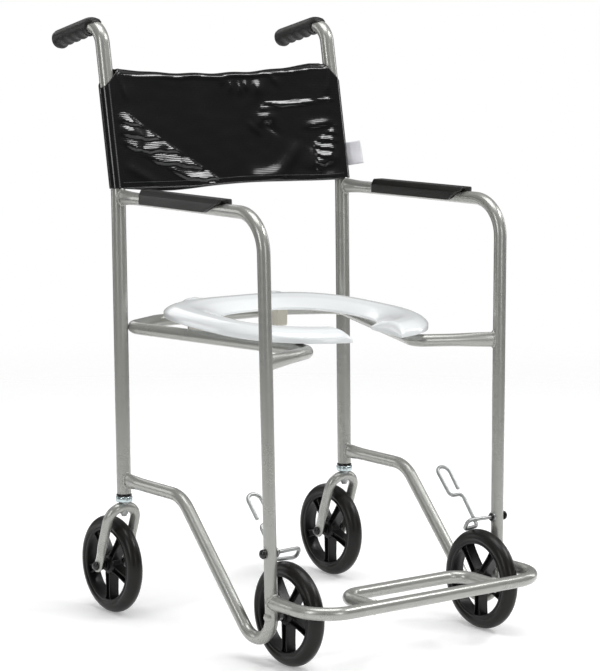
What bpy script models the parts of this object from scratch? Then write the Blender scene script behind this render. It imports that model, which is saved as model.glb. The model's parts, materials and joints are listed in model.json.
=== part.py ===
"""Wheeled commode chair: welded tube frame, horseshoe seat, sling back, footrest.

Metres, +Z up, the floor at z = 0. The sitter faces -Y, so left is +X and right is -X.
The origin is on the floor, under the middle of the whole chair.
"""
import math

import bmesh
import bpy
from mathutils import Matrix, Vector

# ---- driving dimensions, metres ------------------------------------------------
REAR_Y = 0.1573            # the rear posts' foot, from the middle of the chair
HALF_WIDTH = 0.216         # post centre to the middle plane
DEPTH = 0.378              # rear post to front post
LEAN_FROM_Z = 0.203        # the posts lean about this height
REAR_LEAN = 0.0253         # how far the rear posts lean back, per metre of height
FRONT_LEAN = 0.0222
FRONT_SPLAY = 0.0138       # how far the front posts lean apart
POST_R = 0.0111            # 22.2 mm tube
TUBE_R = 0.009525          # 19.05 mm tube
GAP = 0.0003               # left between pieces that touch

POST_FOOT_Z = 0.193
KNEE_Z = 0.660             # the back leans more above this height
BACK_LEAN = 0.19
HANDLE_CORNER_Y = 0.0592
HANDLE_CORNER_Z = 0.9141
HANDLE_BEND = 0.032
HANDLE_DROP = 0.233        # fall of the push handle, per metre of its length

ARM_Z = 0.651
ARM_BEND = 0.056
LOW_CORNER_Y = -0.157
LOW_CORNER_Z = 0.215
LOW_BEND = 0.055
TOE_CORNER_Z = -0.021
TOE_BEND = 0.038

WHEEL_R = 0.0762           # 6 inch wheels
TYRE_W = 0.025
FRONT_WHEEL_X = 0.1835
CASTER_TRAIL = 0.035
WHEEL_STEPS = 28

FOOTREST_Z = 0.0975
FOOTREST_Y = -0.4925
FOOTREST_BEND = 0.055
LOOP_Y = -0.411
LOOP_HALF = 0.114

SEAT_BOTTOM_Z = 0.4665     # at the rear posts; the seat falls towards the front
SEAT_SLOPE = 0.035
SEAT_T = 0.018
SEAT_GAP = 0.052           # half the opening between the two front ends
SEAT_BAR_Y = 0.040
SEAT_BAR_Z = 0.451
SEAT_RAIL_FRONT_Z = 0.442

BRAKE_Z = 0.169
WIRE_R = 0.0028
PAD_REAR_Y = {"left": -0.079, "right": -0.065}
CLIP_X = 0.080
CLIP_FRONT_Y = -0.011
CLIP_REAR_Y = 0.056

SLING_LOW_Z = 0.663
SLING_TOP_Z = 0.846
SLING_HALF = 0.2293
SLING_T = 0.0256
SIDES = (("left", 1), ("right", -1))


# ---- start from an empty scene ---------------------------------------------------
for old in list(bpy.data.objects):
    bpy.data.objects.remove(old, do_unlink=True)

chair = bpy.data.collections.new("commode_chair")
cutters = bpy.data.collections.new("cutters")
bpy.context.scene.collection.children.link(chair)
bpy.context.scene.collection.children.link(cutters)


def material(name, colour, roughness, metallic=0.0):
    made = bpy.data.materials.new(name)
    made.use_nodes = True
    shader = made.node_tree.nodes["Principled BSDF"]
    shader.inputs["Base Color"].default_value = (*colour, 1.0)
    shader.inputs["Roughness"].default_value = roughness
    shader.inputs["Metallic"].default_value = metallic
    return made


PAINT = material("silver_paint", (0.42, 0.42, 0.40), 0.35, 0.6)
SEAT_WHITE = material("white_plastic", (0.85, 0.87, 0.88), 0.25)
VINYL = material("black_vinyl", (0.012, 0.012, 0.013), 0.25)
TAG_CLOTH = material("white_cloth", (0.85, 0.85, 0.86), 0.9)
GRIP_BLACK = material("grip_rubber", (0.02, 0.02, 0.02), 0.6)
PAD_BLACK = material("pad_plastic", (0.02, 0.02, 0.02), 0.5)
TYRE_BLACK = material("tyre_rubber", (0.03, 0.03, 0.03), 0.7)
RIM_BLACK = material("rim_plastic", (0.02, 0.02, 0.02), 0.45)
ZINC = material("zinc_plate", (0.65, 0.67, 0.70), 0.3, 1.0)
CAP_BLACK = material("cap_plastic", (0.015, 0.015, 0.015), 0.3)
CLIP_BEIGE = material("beige_plastic", (0.55, 0.52, 0.44), 0.5)


# ---- building helpers --------------------------------------------------------------
def at(x, y, z):
    """A point given from the rear posts' foot line, in the chair's own frame."""
    return Vector((x, y + REAR_Y, z))


def rear_post(side, z):
    return at(side * HALF_WIDTH, REAR_LEAN * (z - LEAN_FROM_Z), z)


def front_post(side, z):
    rise = z - LEAN_FROM_Z
    return at(side * (HALF_WIDTH + FRONT_SPLAY * rise), FRONT_LEAN * rise - DEPTH, z)


def back_y(z):
    """The back's centre plane above the knee, from the rear posts' foot line."""
    return REAR_LEAN * (KNEE_Z - LEAN_FROM_Z) + BACK_LEAN * (z - KNEE_Z)


def rounded(corners, radii, steps=6):
    """A path through the corners, each one rounded to its radius by an arc."""
    path = [corners[0]]
    for before, corner, after, radius in zip(corners, corners[1:], corners[2:], radii):
        into = (corner - before).normalized()
        out = (after - corner).normalized()
        turn = into.angle(out)
        if turn < 0.01:
            path.append(corner)
            continue
        start = corner - into * radius * math.tan(turn / 2)
        centre_way = (out - into).normalized()
        centre = corner + centre_way * radius / math.cos(turn / 2)
        spin = into.cross(out).normalized()
        count = max(2, round(steps * turn / (math.pi / 2)))
        for step in range(count + 1):
            swing = Matrix.Rotation(turn * step / count, 3, spin)
            path.append(centre + swing @ (start - centre))
    path.append(corners[-1])
    return path


def place(thing, stuff, collection=chair):
    collection.objects.link(thing)
    thing.data.materials.append(stuff)
    return thing


def tube(name, path, radius, stuff, sides=10, collection=chair):
    curve = bpy.data.curves.new(name, "CURVE")
    curve.dimensions = "3D"
    spline = curve.splines.new("POLY")
    spline.points.add(len(path) - 1)
    for point, where in zip(spline.points, path):
        point.co = (*where, 1.0)
    curve.bevel_depth = radius
    curve.bevel_resolution = (sides - 4) // 2
    curve.use_fill_caps = True
    return place(bpy.data.objects.new(name, curve), stuff, collection)


def as_mesh(thing, collection=chair):
    """The curve object as a closed mesh object of the same name."""
    name = thing.name
    bpy.context.view_layer.update()
    seen = thing.evaluated_get(bpy.context.evaluated_depsgraph_get())
    mesh = bpy.data.meshes.new_from_object(seen)
    matrix = thing.matrix_world.copy()
    bpy.data.objects.remove(thing, do_unlink=True)
    welded = bmesh.new()
    welded.from_mesh(mesh)
    bmesh.ops.remove_doubles(welded, verts=welded.verts, dist=0.00001)
    welded.to_mesh(mesh)
    welded.free()
    mesh.name = name
    made = bpy.data.objects.new(name, mesh)
    made.matrix_world = matrix
    collection.objects.link(made)
    return made


def outline(name, points, thickness, stuff):
    """A flat closed outline, filled and given a thickness about its own plane."""
    curve = bpy.data.curves.new(name, "CURVE")
    curve.dimensions = "2D"
    curve.fill_mode = "BOTH"
    curve.extrude = thickness / 2
    spline = curve.splines.new("POLY")
    spline.points.add(len(points) - 1)
    for point, (x, y) in zip(spline.points, points):
        point.co = (x, y, 0.0, 1.0)
    spline.use_cyclic_u = True
    return place(bpy.data.objects.new(name, curve), stuff)


AXES = {
    "X": Matrix.Rotation(math.pi / 2, 4, "Y"),
    "-X": Matrix.Rotation(-math.pi / 2, 4, "Y"),
    "Z": Matrix.Identity(4),
}


def turned(name, profile, where, stuff, axis="Z", steps=18, ring=False, collection=chair):
    """Turn a profile of (radius, height) points about an axis through a point."""
    mesh = bpy.data.meshes.new(name)
    edges = [(i, i + 1) for i in range(len(profile) - 1)]
    if ring:
        edges.append((len(profile) - 1, 0))
    mesh.from_pydata([(r, 0.0, h) for r, h in profile], edges, [])
    thing = place(bpy.data.objects.new(name, mesh), stuff, collection)
    screw = thing.modifiers.new("turn", "SCREW")
    screw.axis = "Z"
    screw.steps = steps
    screw.render_steps = steps
    screw.use_merge_vertices = True
    screw.merge_threshold = 0.00001
    thing.matrix_world = Matrix.Translation(where) @ AXES[axis]
    return thing


def rod(name, radius, low, high, where, stuff, axis="Z", steps=18, collection=chair):
    profile = [(0.0, high), (radius, high), (radius, low), (0.0, low)]
    return turned(name, profile, where, stuff, axis, steps, False, collection)


def sleeve(name, inner, outer, low, high, where, stuff, axis="Z", steps=18):
    profile = [(outer, high), (outer, low), (inner, low), (inner, high)]
    return turned(name, profile, where, stuff, axis, steps, True)


def dome_cap(name, radius, height, hole_r, depth, where, stuff, axis):
    """A domed push-on cap with a blind hole in its flat face, which is at height 0."""
    profile = [
        (0.0, height),
        (radius * 0.5, height * 0.87),
        (radius * 0.87, height * 0.5),
        (radius, 0.0),
        (hole_r, 0.0),
        (hole_r, depth),
        (0.0, depth),
    ]
    return turned(name, profile, where, stuff, axis, 14)


def box(name, size, where, stuff, collection=chair):
    mesh = bpy.data.meshes.new(name)
    shape = bmesh.new()
    bmesh.ops.create_cube(shape, size=1.0, matrix=Matrix.Diagonal((*size, 1.0)))
    shape.to_mesh(mesh)
    shape.free()
    thing = place(bpy.data.objects.new(name, mesh), stuff, collection)
    thing.location = where
    return thing


def boolean(thing, other, operation="DIFFERENCE"):
    change = thing.modifiers.new(operation.lower(), "BOOLEAN")
    change.operation = operation
    change.solver = "EXACT"
    change.object = other
    other.hide_render = True
    other.display_type = "WIRE"


def cut_rod(thing, radius, low, high, where, axis="X", steps=16):
    cutter = rod("cut_" + thing.name, radius, low, high, where, PAINT, axis, steps, cutters)
    boolean(thing, cutter)


def pivot(name, where):
    empty = bpy.data.objects.new(name, None)
    empty.empty_display_size = 0.03
    empty.location = where
    chair.objects.link(empty)
    return empty


def hang(empty, *things):
    """Parent the things to the empty without moving them."""
    bpy.context.view_layer.update()
    for thing in things:
        thing.parent = empty
        thing.matrix_parent_inverse = empty.matrix_world.inverted()


def smooth(thing, angle=40):
    if thing.type == "MESH":
        thing.data.shade_smooth()
        thing.data.set_sharp_from_angle(angle=math.radians(angle))


# ---- frame ----------------------------------------------------------------------------
def handle_path(side):
    """From the post's foot, up the back and out along the push handle."""
    x = side * HALF_WIDTH
    end = 0.173
    drop = HANDLE_DROP * (end - HANDLE_CORNER_Y)
    corners = [
        rear_post(side, POST_FOOT_Z),
        rear_post(side, KNEE_Z),
        at(x, HANDLE_CORNER_Y, HANDLE_CORNER_Z),
        at(x, end, HANDLE_CORNER_Z - drop),
    ]
    return rounded(corners, [0.12, HANDLE_BEND], 8)


def swivel_point(side, z):
    return at(side * HALF_WIDTH, REAR_LEAN * (POST_FOOT_Z - LEAN_FROM_Z), z)


def make_rear_post(word, side):
    post = as_mesh(tube("rear_post_" + word, handle_path(side), POST_R, PAINT, 12))
    cut_rod(post, 0.0086, -0.01, 0.050, swivel_point(side, POST_FOOT_Z), "Z", 20)
    smooth(post)
    return post


def side_path(side):
    """Armrest, front post, toe bend, rising strut and the short run to the rear post."""
    x = side * HALF_WIDTH
    corners = [
        at(x, REAR_LEAN * (ARM_Z - LEAN_FROM_Z) - POST_R - 2 * GAP, ARM_Z),
        front_post(side, ARM_Z),
        front_post(side, TOE_CORNER_Z),
        at(x, LOW_CORNER_Y, LOW_CORNER_Z),
        at(x, -POST_R - 2 * GAP, LOW_CORNER_Z),
    ]
    return rounded(corners, [ARM_BEND, TOE_BEND, LOW_BEND])


def make_side_frame(word, side):
    side_tube = as_mesh(tube("side_frame_" + word, side_path(side), TUBE_R, PAINT))
    brake = front_post(side, BRAKE_Z)
    axle = front_post(side, WHEEL_R)
    cut_rod(side_tube, 0.0046, -0.03, 0.03, brake, "X", 16)
    cut_rod(side_tube, 0.0043, -0.03, 0.03, axle, "X", 16)
    smooth(side_tube)
    return side_tube


def make_seat_frame():
    """One tube: bowed bar behind the seat, two rails running in, ends out to the posts."""
    halves = []
    for side in (-1, 1):
        post = front_post(side, SEAT_RAIL_FRONT_Z - 0.001)
        knee = at(side * 0.098, -0.318, SEAT_RAIL_FRONT_Z)
        reach = (post - knee).normalized() * (TUBE_R + GAP)
        half = [
            post - reach,
            knee,
            at(side * 0.2035, 0.0, SEAT_BAR_Z),
            at(side * 0.128, SEAT_BAR_Y, SEAT_BAR_Z),
        ]
        halves.append(half)
    corners = halves[0] + halves[1][::-1]
    radii = [0.022, 0.030, 0.045, 0.045, 0.030, 0.022]
    return tube("seat_frame", rounded(corners, radii), TUBE_R, PAINT)


def make_footrest():
    corners = []
    for side in (-1, 1):
        joint = front_post(side, FOOTREST_Z)
        start = joint - Vector((0.0, TUBE_R + GAP, 0.0))
        turn = Vector((joint.x, FOOTREST_Y + REAR_Y, FOOTREST_Z))
        corners.append([start, turn])
    path = rounded(corners[0] + corners[1][::-1], [FOOTREST_BEND, FOOTREST_BEND], 7)
    tube("footrest_tube", path, TUBE_R, PAINT)
    clear = 2 * TUBE_R + GAP
    loop = [
        at(-LOOP_HALF, FOOTREST_Y + clear / 2 + 0.0002, FOOTREST_Z),
        at(-LOOP_HALF, LOOP_Y, FOOTREST_Z),
        at(LOOP_HALF, LOOP_Y, FOOTREST_Z),
        at(LOOP_HALF, FOOTREST_Y + clear / 2 + 0.0002, FOOTREST_Z),
    ]
    tube("footrest_inner_loop", rounded(loop, [0.032, 0.032], 7), TUBE_R, PAINT)


# ---- soft and moulded parts on the frame -------------------------------------------------
def make_sling():
    """The vinyl back, as one leaning slab with its top corners cut off."""
    cut = 0.031
    points = [
        (-SLING_HALF, SLING_LOW_Z),
        (SLING_HALF, SLING_LOW_Z),
        (SLING_HALF, SLING_TOP_Z - cut),
        (SLING_HALF - cut, SLING_TOP_Z),
        (-SLING_HALF + cut, SLING_TOP_Z),
        (-SLING_HALF, SLING_TOP_Z - cut),
    ]
    sling = as_mesh(outline("backrest_sling", points, SLING_T, VINYL))
    lean = Matrix.Identity(4)
    lean[1][2] = BACK_LEAN
    stand = Matrix.Rotation(math.pi / 2, 4, "X")
    sling.data.transform(stand)
    sling.data.transform(lean)
    sling.data.transform(Matrix.Translation((0.0, back_y(0.0) + REAR_Y, 0.0)))
    fold = sling.modifiers.new("folded_edges", "BEVEL")
    fold.width = 0.0120
    fold.segments = 3
    fold.limit_method = "ANGLE"
    fold.angle_limit = math.radians(60)
    for word, side in SIDES:
        name = "cut_sling_" + word
        hole = as_mesh(tube(name, handle_path(side), POST_R + GAP, PAINT, 12, cutters), cutters)
        boolean(sling, hole)
    return sling


def make_tag():
    """The small blank cloth label sewn into the side seam of the back."""
    tag = box("backrest_tag", (0.0284, 0.0012, 0.038), at(0.2406, 0.0097, 0.700), TAG_CLOTH)
    tag.rotation_euler = (0.0, 0.0, math.radians(-42))
    return tag


def make_pad(word, side):
    """Armrest pad: a moulded channel pressed over the armrest tube."""
    rear = PAD_REAR_Y[word]
    top = ARM_Z + 0.0158
    low = ARM_Z - 0.0055
    points = [
        (rear, low),
        (rear, top),
        (rear - 0.216, top),
        (rear - 0.210, top - 0.010),
        (rear - 0.169, low),
    ]
    pad = as_mesh(outline("armrest_pad_" + word, points, 0.0275, PAD_BLACK))
    to_side = Matrix(((0, 0, 1, 0), (1, 0, 0, 0), (0, 1, 0, 0), (0, 0, 0, 1)))
    pad.data.transform(to_side)
    splay = FRONT_SPLAY * (ARM_Z - LEAN_FROM_Z) / DEPTH
    pad.data.transform(Matrix.Rotation(side * math.atan(splay), 4, "Z"))
    pad.data.transform(Matrix.Translation((side * HALF_WIDTH, REAR_Y, 0.0)))
    edge = pad.modifiers.new("soft_edges", "BEVEL")
    edge.width = 0.003
    edge.segments = 2
    edge.limit_method = "ANGLE"
    groove = tube("cut_pad_" + word, side_path(side), TUBE_R + GAP, PAINT, 10, cutters)
    boolean(pad, as_mesh(groove, cutters))
    smooth(pad)
    return pad


def make_grip(word, side):
    """Push-on handle grip with a blind bore over the end of the rear tube."""
    x = side * HALF_WIDTH
    path = [p for p in handle_path(side) if p.z > 0.86 and p.y > REAR_Y + 0.080]
    end = 0.184
    drop = HANDLE_DROP * (end - HANDLE_CORNER_Y)
    path[-1] = at(x, end, HANDLE_CORNER_Z - drop)
    grip = as_mesh(tube("push_grip_" + word, path, 0.0148, GRIP_BLACK, 12))
    name = "cut_grip_" + word
    bore = tube(name, handle_path(side), POST_R + GAP, PAINT, 12, cutters)
    points = bore.data.splines[0].points
    reach = (Vector(points[-1].co[:3]) - Vector(points[-2].co[:3])).normalized() * 0.001
    points[-1].co = (*(Vector(points[-1].co[:3]) + reach), 1.0)
    boolean(grip, as_mesh(bore, cutters))
    smooth(grip)
    return grip


# ---- wheels -------------------------------------------------------------------------------
def make_tyre(name, where):
    half = TYRE_W / 2
    bead = 0.0605
    profile = [
        (WHEEL_R - 0.0085, half),
        (WHEEL_R, half * 0.40),
        (WHEEL_R, -half * 0.40),
        (WHEEL_R - 0.0085, -half),
        (bead + GAP, -half * 0.92),
        (bead + GAP, half * 0.92),
    ]
    tyre = turned(name, profile, where, TYRE_BLACK, "X", WHEEL_STEPS, True)
    smooth(tyre)
    return tyre


def make_rim(name, where, hub_half):
    """Moulded wheel centre: hub, five spokes and the band that carries the tyre."""
    rim = sleeve(name, 0.0560, 0.0605, -0.0105, 0.0105, where, RIM_BLACK, "X", WHEEL_STEPS)
    hub = sleeve(name + "_hub", 0.00405, 0.0160, -hub_half, hub_half, where, RIM_BLACK, "X")
    chair.objects.unlink(hub)
    cutters.objects.link(hub)
    for spoke in range(5):
        angle = math.radians(72 * spoke - 90)
        arm = box(name + "_spoke", (0.0125, 0.0445, 0.0105), where, RIM_BLACK, cutters)
        out = Vector((0.0, math.cos(angle), math.sin(angle)))
        arm.matrix_world = (
            Matrix.Translation(where + out * 0.0360) @ Matrix.Rotation(angle, 4, "X")
        )
        boolean(rim, arm, "UNION")
    boolean(rim, hub, "UNION")
    return rim


def make_front_wheel(word, side):
    post = front_post(side, WHEEL_R)
    where = Vector((side * FRONT_WHEEL_X, post.y, WHEEL_R))
    tyre = make_tyre("front_tyre_" + word, where)
    rim = make_rim("front_rim_" + word, where, 0.0145)
    hang(pivot("front_wheel_axis_" + word, where), tyre, rim)
    outward = "X" if side > 0 else "-X"
    inner_x = side * (FRONT_WHEEL_X - 0.0190)
    outer = abs(post.x) + TUBE_R + 0.0022 - abs(inner_x)
    axle_profile = [
        (0.0, outer + 0.0010),
        (0.0042, outer),
        (0.0060, outer - 0.0016),
        (0.0060, abs(post.x) + TUBE_R + GAP - abs(inner_x)),
        (0.00395, abs(post.x) + TUBE_R + GAP - abs(inner_x)),
        (0.00395, 0.0),
        (0.0, 0.0),
    ]
    foot = Vector((inner_x, post.y, WHEEL_R))
    turned("front_axle_" + word, axle_profile, foot, ZINC, outward)
    space = abs(post.x) - TUBE_R - GAP - (FRONT_WHEEL_X + 0.0145 + 0.0004)
    hub_end = Vector((side * (FRONT_WHEEL_X + 0.0149), post.y, WHEEL_R))
    sleeve("front_axle_spacer_" + word, 0.0042, 0.0075, 0.0, space, hub_end, ZINC, outward)
    inward = "-X" if side > 0 else "X"
    cap_at = Vector((side * (FRONT_WHEEL_X - 0.0150), post.y, WHEEL_R))
    dome_cap("front_axle_cap_" + word, 0.0075, 0.0065, 0.0042, 0.0046, cap_at, CAP_BLACK, inward)


def fork_path(side):
    """Down one leg of the bent fork, over the crown and down the other leg."""
    axle = at(side * HALF_WIDTH, CASTER_TRAIL, WHEEL_R)
    swivel = swivel_point(side, 0.0)
    lean = Vector((0.0, swivel.y + 0.0005 - axle.y, 0.1725 - WHEEL_R))
    leg = Vector((0.025, 0.0, 0.0))
    foot = -lean.normalized() * 0.010
    corners = [
        axle - leg + foot,
        axle - leg + lean * 0.11,
        axle - leg + lean * 0.32,
        axle - leg + lean,
        axle + leg + lean,
        axle + leg + lean * 0.32,
        axle + leg + lean * 0.11,
        axle + leg + foot,
    ]
    return rounded(corners, [0.0238] * 6, 5)


def make_fork(word, side):
    fork = as_mesh(tube("caster_fork_" + word, fork_path(side), 0.0078, PAINT, 8))
    axle = at(side * HALF_WIDTH, CASTER_TRAIL, WHEEL_R)
    for vert in fork.data.vertices:
        # the last stretch of each leg is pressed flat around the axle
        rise = vert.co.z - axle.z
        if rise < 0.030:
            flat = min(1.0, (0.030 - rise) / 0.020)
            middle = axle.x + math.copysign(0.025, vert.co.x - axle.x)
            vert.co.x = middle + (vert.co.x - middle) * (1.0 - 0.55 * flat)
    cut_rod(fork, 0.0041, -0.04, 0.04, axle, "X", 16)
    cut_rod(fork, 0.0062, -0.03, 0.03, swivel_point(side, 0.172), "Z", 16)
    smooth(fork)
    return fork


def make_caster(word, side):
    axle = at(side * HALF_WIDTH, CASTER_TRAIL, WHEEL_R)
    top = swivel_point(side, 0.0)
    fork = make_fork(word, side)
    stem_low = 0.1600
    stem_profile = [
        (0.0, 0.238),
        (0.00595, 0.238),
        (0.00595, stem_low + 0.002),
        (0.0040, stem_low),
        (0.0, stem_low),
    ]
    stem = turned("caster_stem_" + word, stem_profile, top, ZINC, "Z", 20)
    seat_of_cup = POST_FOOT_Z - 0.0032
    cup_profile = [
        (0.0120, seat_of_cup),
        (0.0128, seat_of_cup - 0.0012),
        (0.0128, seat_of_cup - 0.0078),
        (0.0118, seat_of_cup - 0.0088),
        (0.00605, seat_of_cup - 0.0088),
        (0.00605, seat_of_cup),
    ]
    turned("caster_cup_" + word, cup_profile, top, ZINC, "Z", 20, True)
    seal_low = seat_of_cup + GAP
    seal_top = POST_FOOT_Z - GAP
    sleeve("caster_seal_" + word, 0.00605, 0.0115, seal_low, seal_top, top, CAP_BLACK, "Z", 20)
    sleeve("caster_sleeve_" + word, 0.00605, 0.0083, POST_FOOT_Z, 0.2400, top, CAP_BLACK, "Z", 20)
    bolt = rod("caster_axle_" + word, 0.00395, -0.0330, 0.0330, axle, ZINC, "X")
    caps = []
    for near, way in (("outer", side), ("inner", -side)):
        name = "caster_axle_cap_" + near + "_" + word
        spot = axle + Vector((way * 0.0290, 0.0, 0.0))
        axis = "X" if way > 0 else "-X"
        caps.append(dome_cap(name, 0.0070, 0.0065, 0.0042, 0.0046, spot, CAP_BLACK, axis))
    hang(pivot("caster_swivel_axis_" + word, top + Vector((0.0, 0.0, 0.18))), fork, stem, bolt, *caps)
    tyre = make_tyre("caster_tyre_" + word, axle)
    rim = make_rim("caster_rim_" + word, axle, 0.0145)
    hang(pivot("caster_wheel_axis_" + word, axle), tyre, rim)


# ---- brakes -------------------------------------------------------------------------------
def lever_path(side):
    """Through the post, over the tyre, back under itself, then up to the hand loop."""
    y = front_post(side, BRAKE_Z).y - REAR_Y
    corners = [
        at(side * 0.2292, y, BRAKE_Z),
        at(side * 0.2010, y, BRAKE_Z),
        at(side * 0.1600, y + 0.0030, BRAKE_Z),
        at(side * 0.1600, y + 0.0125, BRAKE_Z - 0.0158),
        at(side * 0.1925, y + 0.0190, BRAKE_Z - 0.0158),
        at(side * 0.1925, y + 0.0555, BRAKE_Z + 0.0280),
        at(side * 0.1690, y + 0.0555, BRAKE_Z + 0.0280),
        at(side * 0.1690, y + 0.0915, BRAKE_Z + 0.0660),
        at(side * 0.1925, y + 0.0915, BRAKE_Z + 0.0660),
        at(side * 0.1915, y + 0.0635, BRAKE_Z + 0.0345),
    ]
    bend = 0.0070
    return rounded(corners, [bend, bend, bend, bend, bend, bend, 0.0112, 0.0112], 3)


def make_brake(word, side):
    post = front_post(side, BRAKE_Z)
    lever = tube("brake_lever_" + word, lever_path(side), WIRE_R, ZINC, 8)
    outward = "X" if side > 0 else "-X"
    inward = "-X" if side > 0 else "X"
    cap_at = post + Vector((side * (TUBE_R + 0.0018), 0.0, 0.0))
    cap = dome_cap("brake_cap_" + word, 0.0070, 0.0068, 0.0031, 0.0030, cap_at, CAP_BLACK, outward)
    hang(pivot("brake_axis_" + word, post), lever, cap)
    bush_profile = [
        (0.0065, TUBE_R + 0.0030),
        (0.0065, TUBE_R + GAP),
        (0.0043, TUBE_R + GAP),
        (0.0043, -TUBE_R - 0.0006),
        (0.0029, -TUBE_R - 0.0006),
        (0.0029, TUBE_R + 0.0030),
    ]
    turned("brake_bush_" + word, bush_profile, post, CAP_BLACK, inward, 16, True)


# ---- seat ---------------------------------------------------------------------------------
def oval(angle, half_x, front, rear, middle, front_power, rear_power):
    """A rounded outline whose front and rear halves have their own length and fullness."""
    c = math.cos(angle)
    s = math.sin(angle)
    power = front_power if s < 0 else rear_power
    reach = front if s < 0 else rear
    x = half_x * math.copysign(abs(c) ** (2 / power), c)
    y = middle + reach * math.copysign(abs(s) ** (2 / power), s)
    return x, y


def gap_angle(shape, half_gap):
    """The angle past straight-ahead at which the outline leaves the front opening."""
    low = 0.0
    high = math.pi / 2
    for _ in range(40):
        middle = (low + high) / 2
        x, _y = oval(-math.pi / 2 + middle, *shape)
        if x < half_gap:
            low = middle
        else:
            high = middle
    return high


def seat_outline():
    outer = (0.177, 0.176, 0.212, -0.182, 2.25, 3.6)
    inner = (0.112, 0.112, 0.118, -0.165, 2.2, 2.6)
    points = []
    for shape, count, way in ((outer, 28, 1), (inner, 20, -1)):
        edge = gap_angle(shape, SEAT_GAP)
        span = 2 * math.pi - 2 * edge
        turn = [-math.pi / 2 + edge + span * i / count for i in range(count + 1)]
        points += [oval(a, *shape) for a in turn[::way]]
    return points


def seat_frame_matrix():
    """The seat's own plane: its underside at the rear posts, falling to the front."""
    tilt = Matrix.Rotation(math.atan(SEAT_SLOPE), 4, "X")
    return Matrix.Translation(at(0.0, 0.0, SEAT_BOTTOM_Z)) @ tilt


def make_seat():
    plane = seat_frame_matrix()
    seat = as_mesh(outline("seat", seat_outline(), SEAT_T, SEAT_WHITE))
    seat.data.transform(Matrix.Translation((0.0, 0.0, SEAT_T / 2)))
    seat.data.transform(plane)
    edge = seat.modifiers.new("round_edges", "BEVEL")
    edge.width = 0.0055
    edge.segments = 2
    edge.limit_method = "ANGLE"
    moving = [seat]
    bar = at(0.0, SEAT_BAR_Y, SEAT_BAR_Z)
    for word, side in SIDES:
        x = side * CLIP_X
        top = SEAT_BOTTOM_Z + SEAT_SLOPE * CLIP_FRONT_Y - GAP
        low = SEAT_BAR_Z - 0.019
        clip_at = at(x, (CLIP_FRONT_Y + CLIP_REAR_Y) / 2, (top + low) / 2)
        clip_size = (0.024, CLIP_REAR_Y - CLIP_FRONT_Y, top - low)
        clip = box("seat_clip_" + word, clip_size, clip_at, CLIP_BEIGE)
        cut_rod(clip, TUBE_R + 0.0004, -0.02, 0.02, Vector((x, bar.y, bar.z)), "X", 32)
        screw_at = at(x, 0.020, 0.0)
        cut_rod(clip, 0.0025, 0.4, 0.5, screw_at, "Z", 12)
        cut_rod(seat, 0.0025, 0.45, top + 0.011, screw_at, "Z", 12)
        screw_profile = [
            (0.0, top + 0.010),
            (0.0021, top + 0.009),
            (0.0021, low - GAP),
            (0.0045, low - GAP),
            (0.0045, low - 0.0026),
            (0.0, low - 0.0030),
        ]
        screw = turned("seat_clip_screw_" + word, screw_profile, screw_at, ZINC, "Z", 12)
        pad_profile = [(0.0, -GAP), (0.0075, -GAP), (0.0075, -0.0034), (0.0, -0.0034)]
        buffer = turned("seat_buffer_" + word, pad_profile, at(0, 0, 0), CAP_BLACK, "Z", 16)
        buffer.matrix_world = plane @ Matrix.Translation((side * 0.104, -0.300, 0.0))
        smooth(screw)
        moving += [clip, screw, buffer]
    hang(pivot("seat_hinge_axis", bar), *moving)
    smooth(seat)


# ---- the whole chair ------------------------------------------------------------------------
for word, side in SIDES:
    make_rear_post(word, side)
    make_side_frame(word, side)
make_seat_frame()
make_footrest()
make_sling()
make_tag()
for word, side in SIDES:
    make_pad(word, side)
    make_grip(word, side)
    make_front_wheel(word, side)
    make_caster(word, side)
    make_brake(word, side)
make_seat()
bpy.context.view_layer.update()
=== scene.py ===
"""Looks of the wheeled commode chair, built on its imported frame. Metres, +Z up.

The sitter faces -Y, so left is +X and right is -X. Every piece rides on a body of the frame.
"""
import json
import math

import bmesh
import bpy
from mathutils import Matrix, Vector, noise


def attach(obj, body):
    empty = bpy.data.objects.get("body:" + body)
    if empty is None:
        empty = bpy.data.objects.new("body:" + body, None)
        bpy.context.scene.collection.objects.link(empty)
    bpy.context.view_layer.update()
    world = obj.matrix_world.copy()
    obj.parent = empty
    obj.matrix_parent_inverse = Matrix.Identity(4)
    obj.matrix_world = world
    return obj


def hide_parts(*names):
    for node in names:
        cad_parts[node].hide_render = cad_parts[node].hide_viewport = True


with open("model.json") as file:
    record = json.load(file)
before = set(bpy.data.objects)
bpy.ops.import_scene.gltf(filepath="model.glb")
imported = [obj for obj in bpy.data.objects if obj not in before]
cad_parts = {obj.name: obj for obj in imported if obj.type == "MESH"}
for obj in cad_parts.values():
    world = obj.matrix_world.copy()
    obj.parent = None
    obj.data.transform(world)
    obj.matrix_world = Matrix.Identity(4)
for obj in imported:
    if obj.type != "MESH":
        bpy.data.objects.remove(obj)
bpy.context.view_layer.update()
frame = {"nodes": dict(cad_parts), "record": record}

# ---- sizes shared with the frame, metres -------------------------------------
REAR_Y = 0.1573
HALF_WIDTH = 0.216
DEPTH = 0.378
LEAN_FROM_Z = 0.203
REAR_LEAN = 0.0253
FRONT_LEAN = 0.0222
FRONT_SPLAY = 0.0138
POST_R = 0.0111
TUBE_R = 0.009525
POST_FOOT_Z = 0.193
KNEE_Z = 0.660
BACK_LEAN = 0.19
HANDLE_CORNER_Y = 0.0592
HANDLE_CORNER_Z = 0.9141
HANDLE_BEND = 0.032
HANDLE_DROP = 0.233
HANDLE_END = 0.173
GRIP_END = 0.184
GRIP_START = 0.080
ARM_Z = 0.651
ARM_BEND = 0.056
LOW_CORNER_Y = -0.157
LOW_CORNER_Z = 0.215
LOW_BEND = 0.055
TOE_CORNER_Z = -0.021
TOE_BEND = 0.038
WHEEL_R = 0.0762
TYRE_W = 0.025
FRONT_WHEEL_X = 0.1835
CASTER_TRAIL = 0.035
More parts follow.
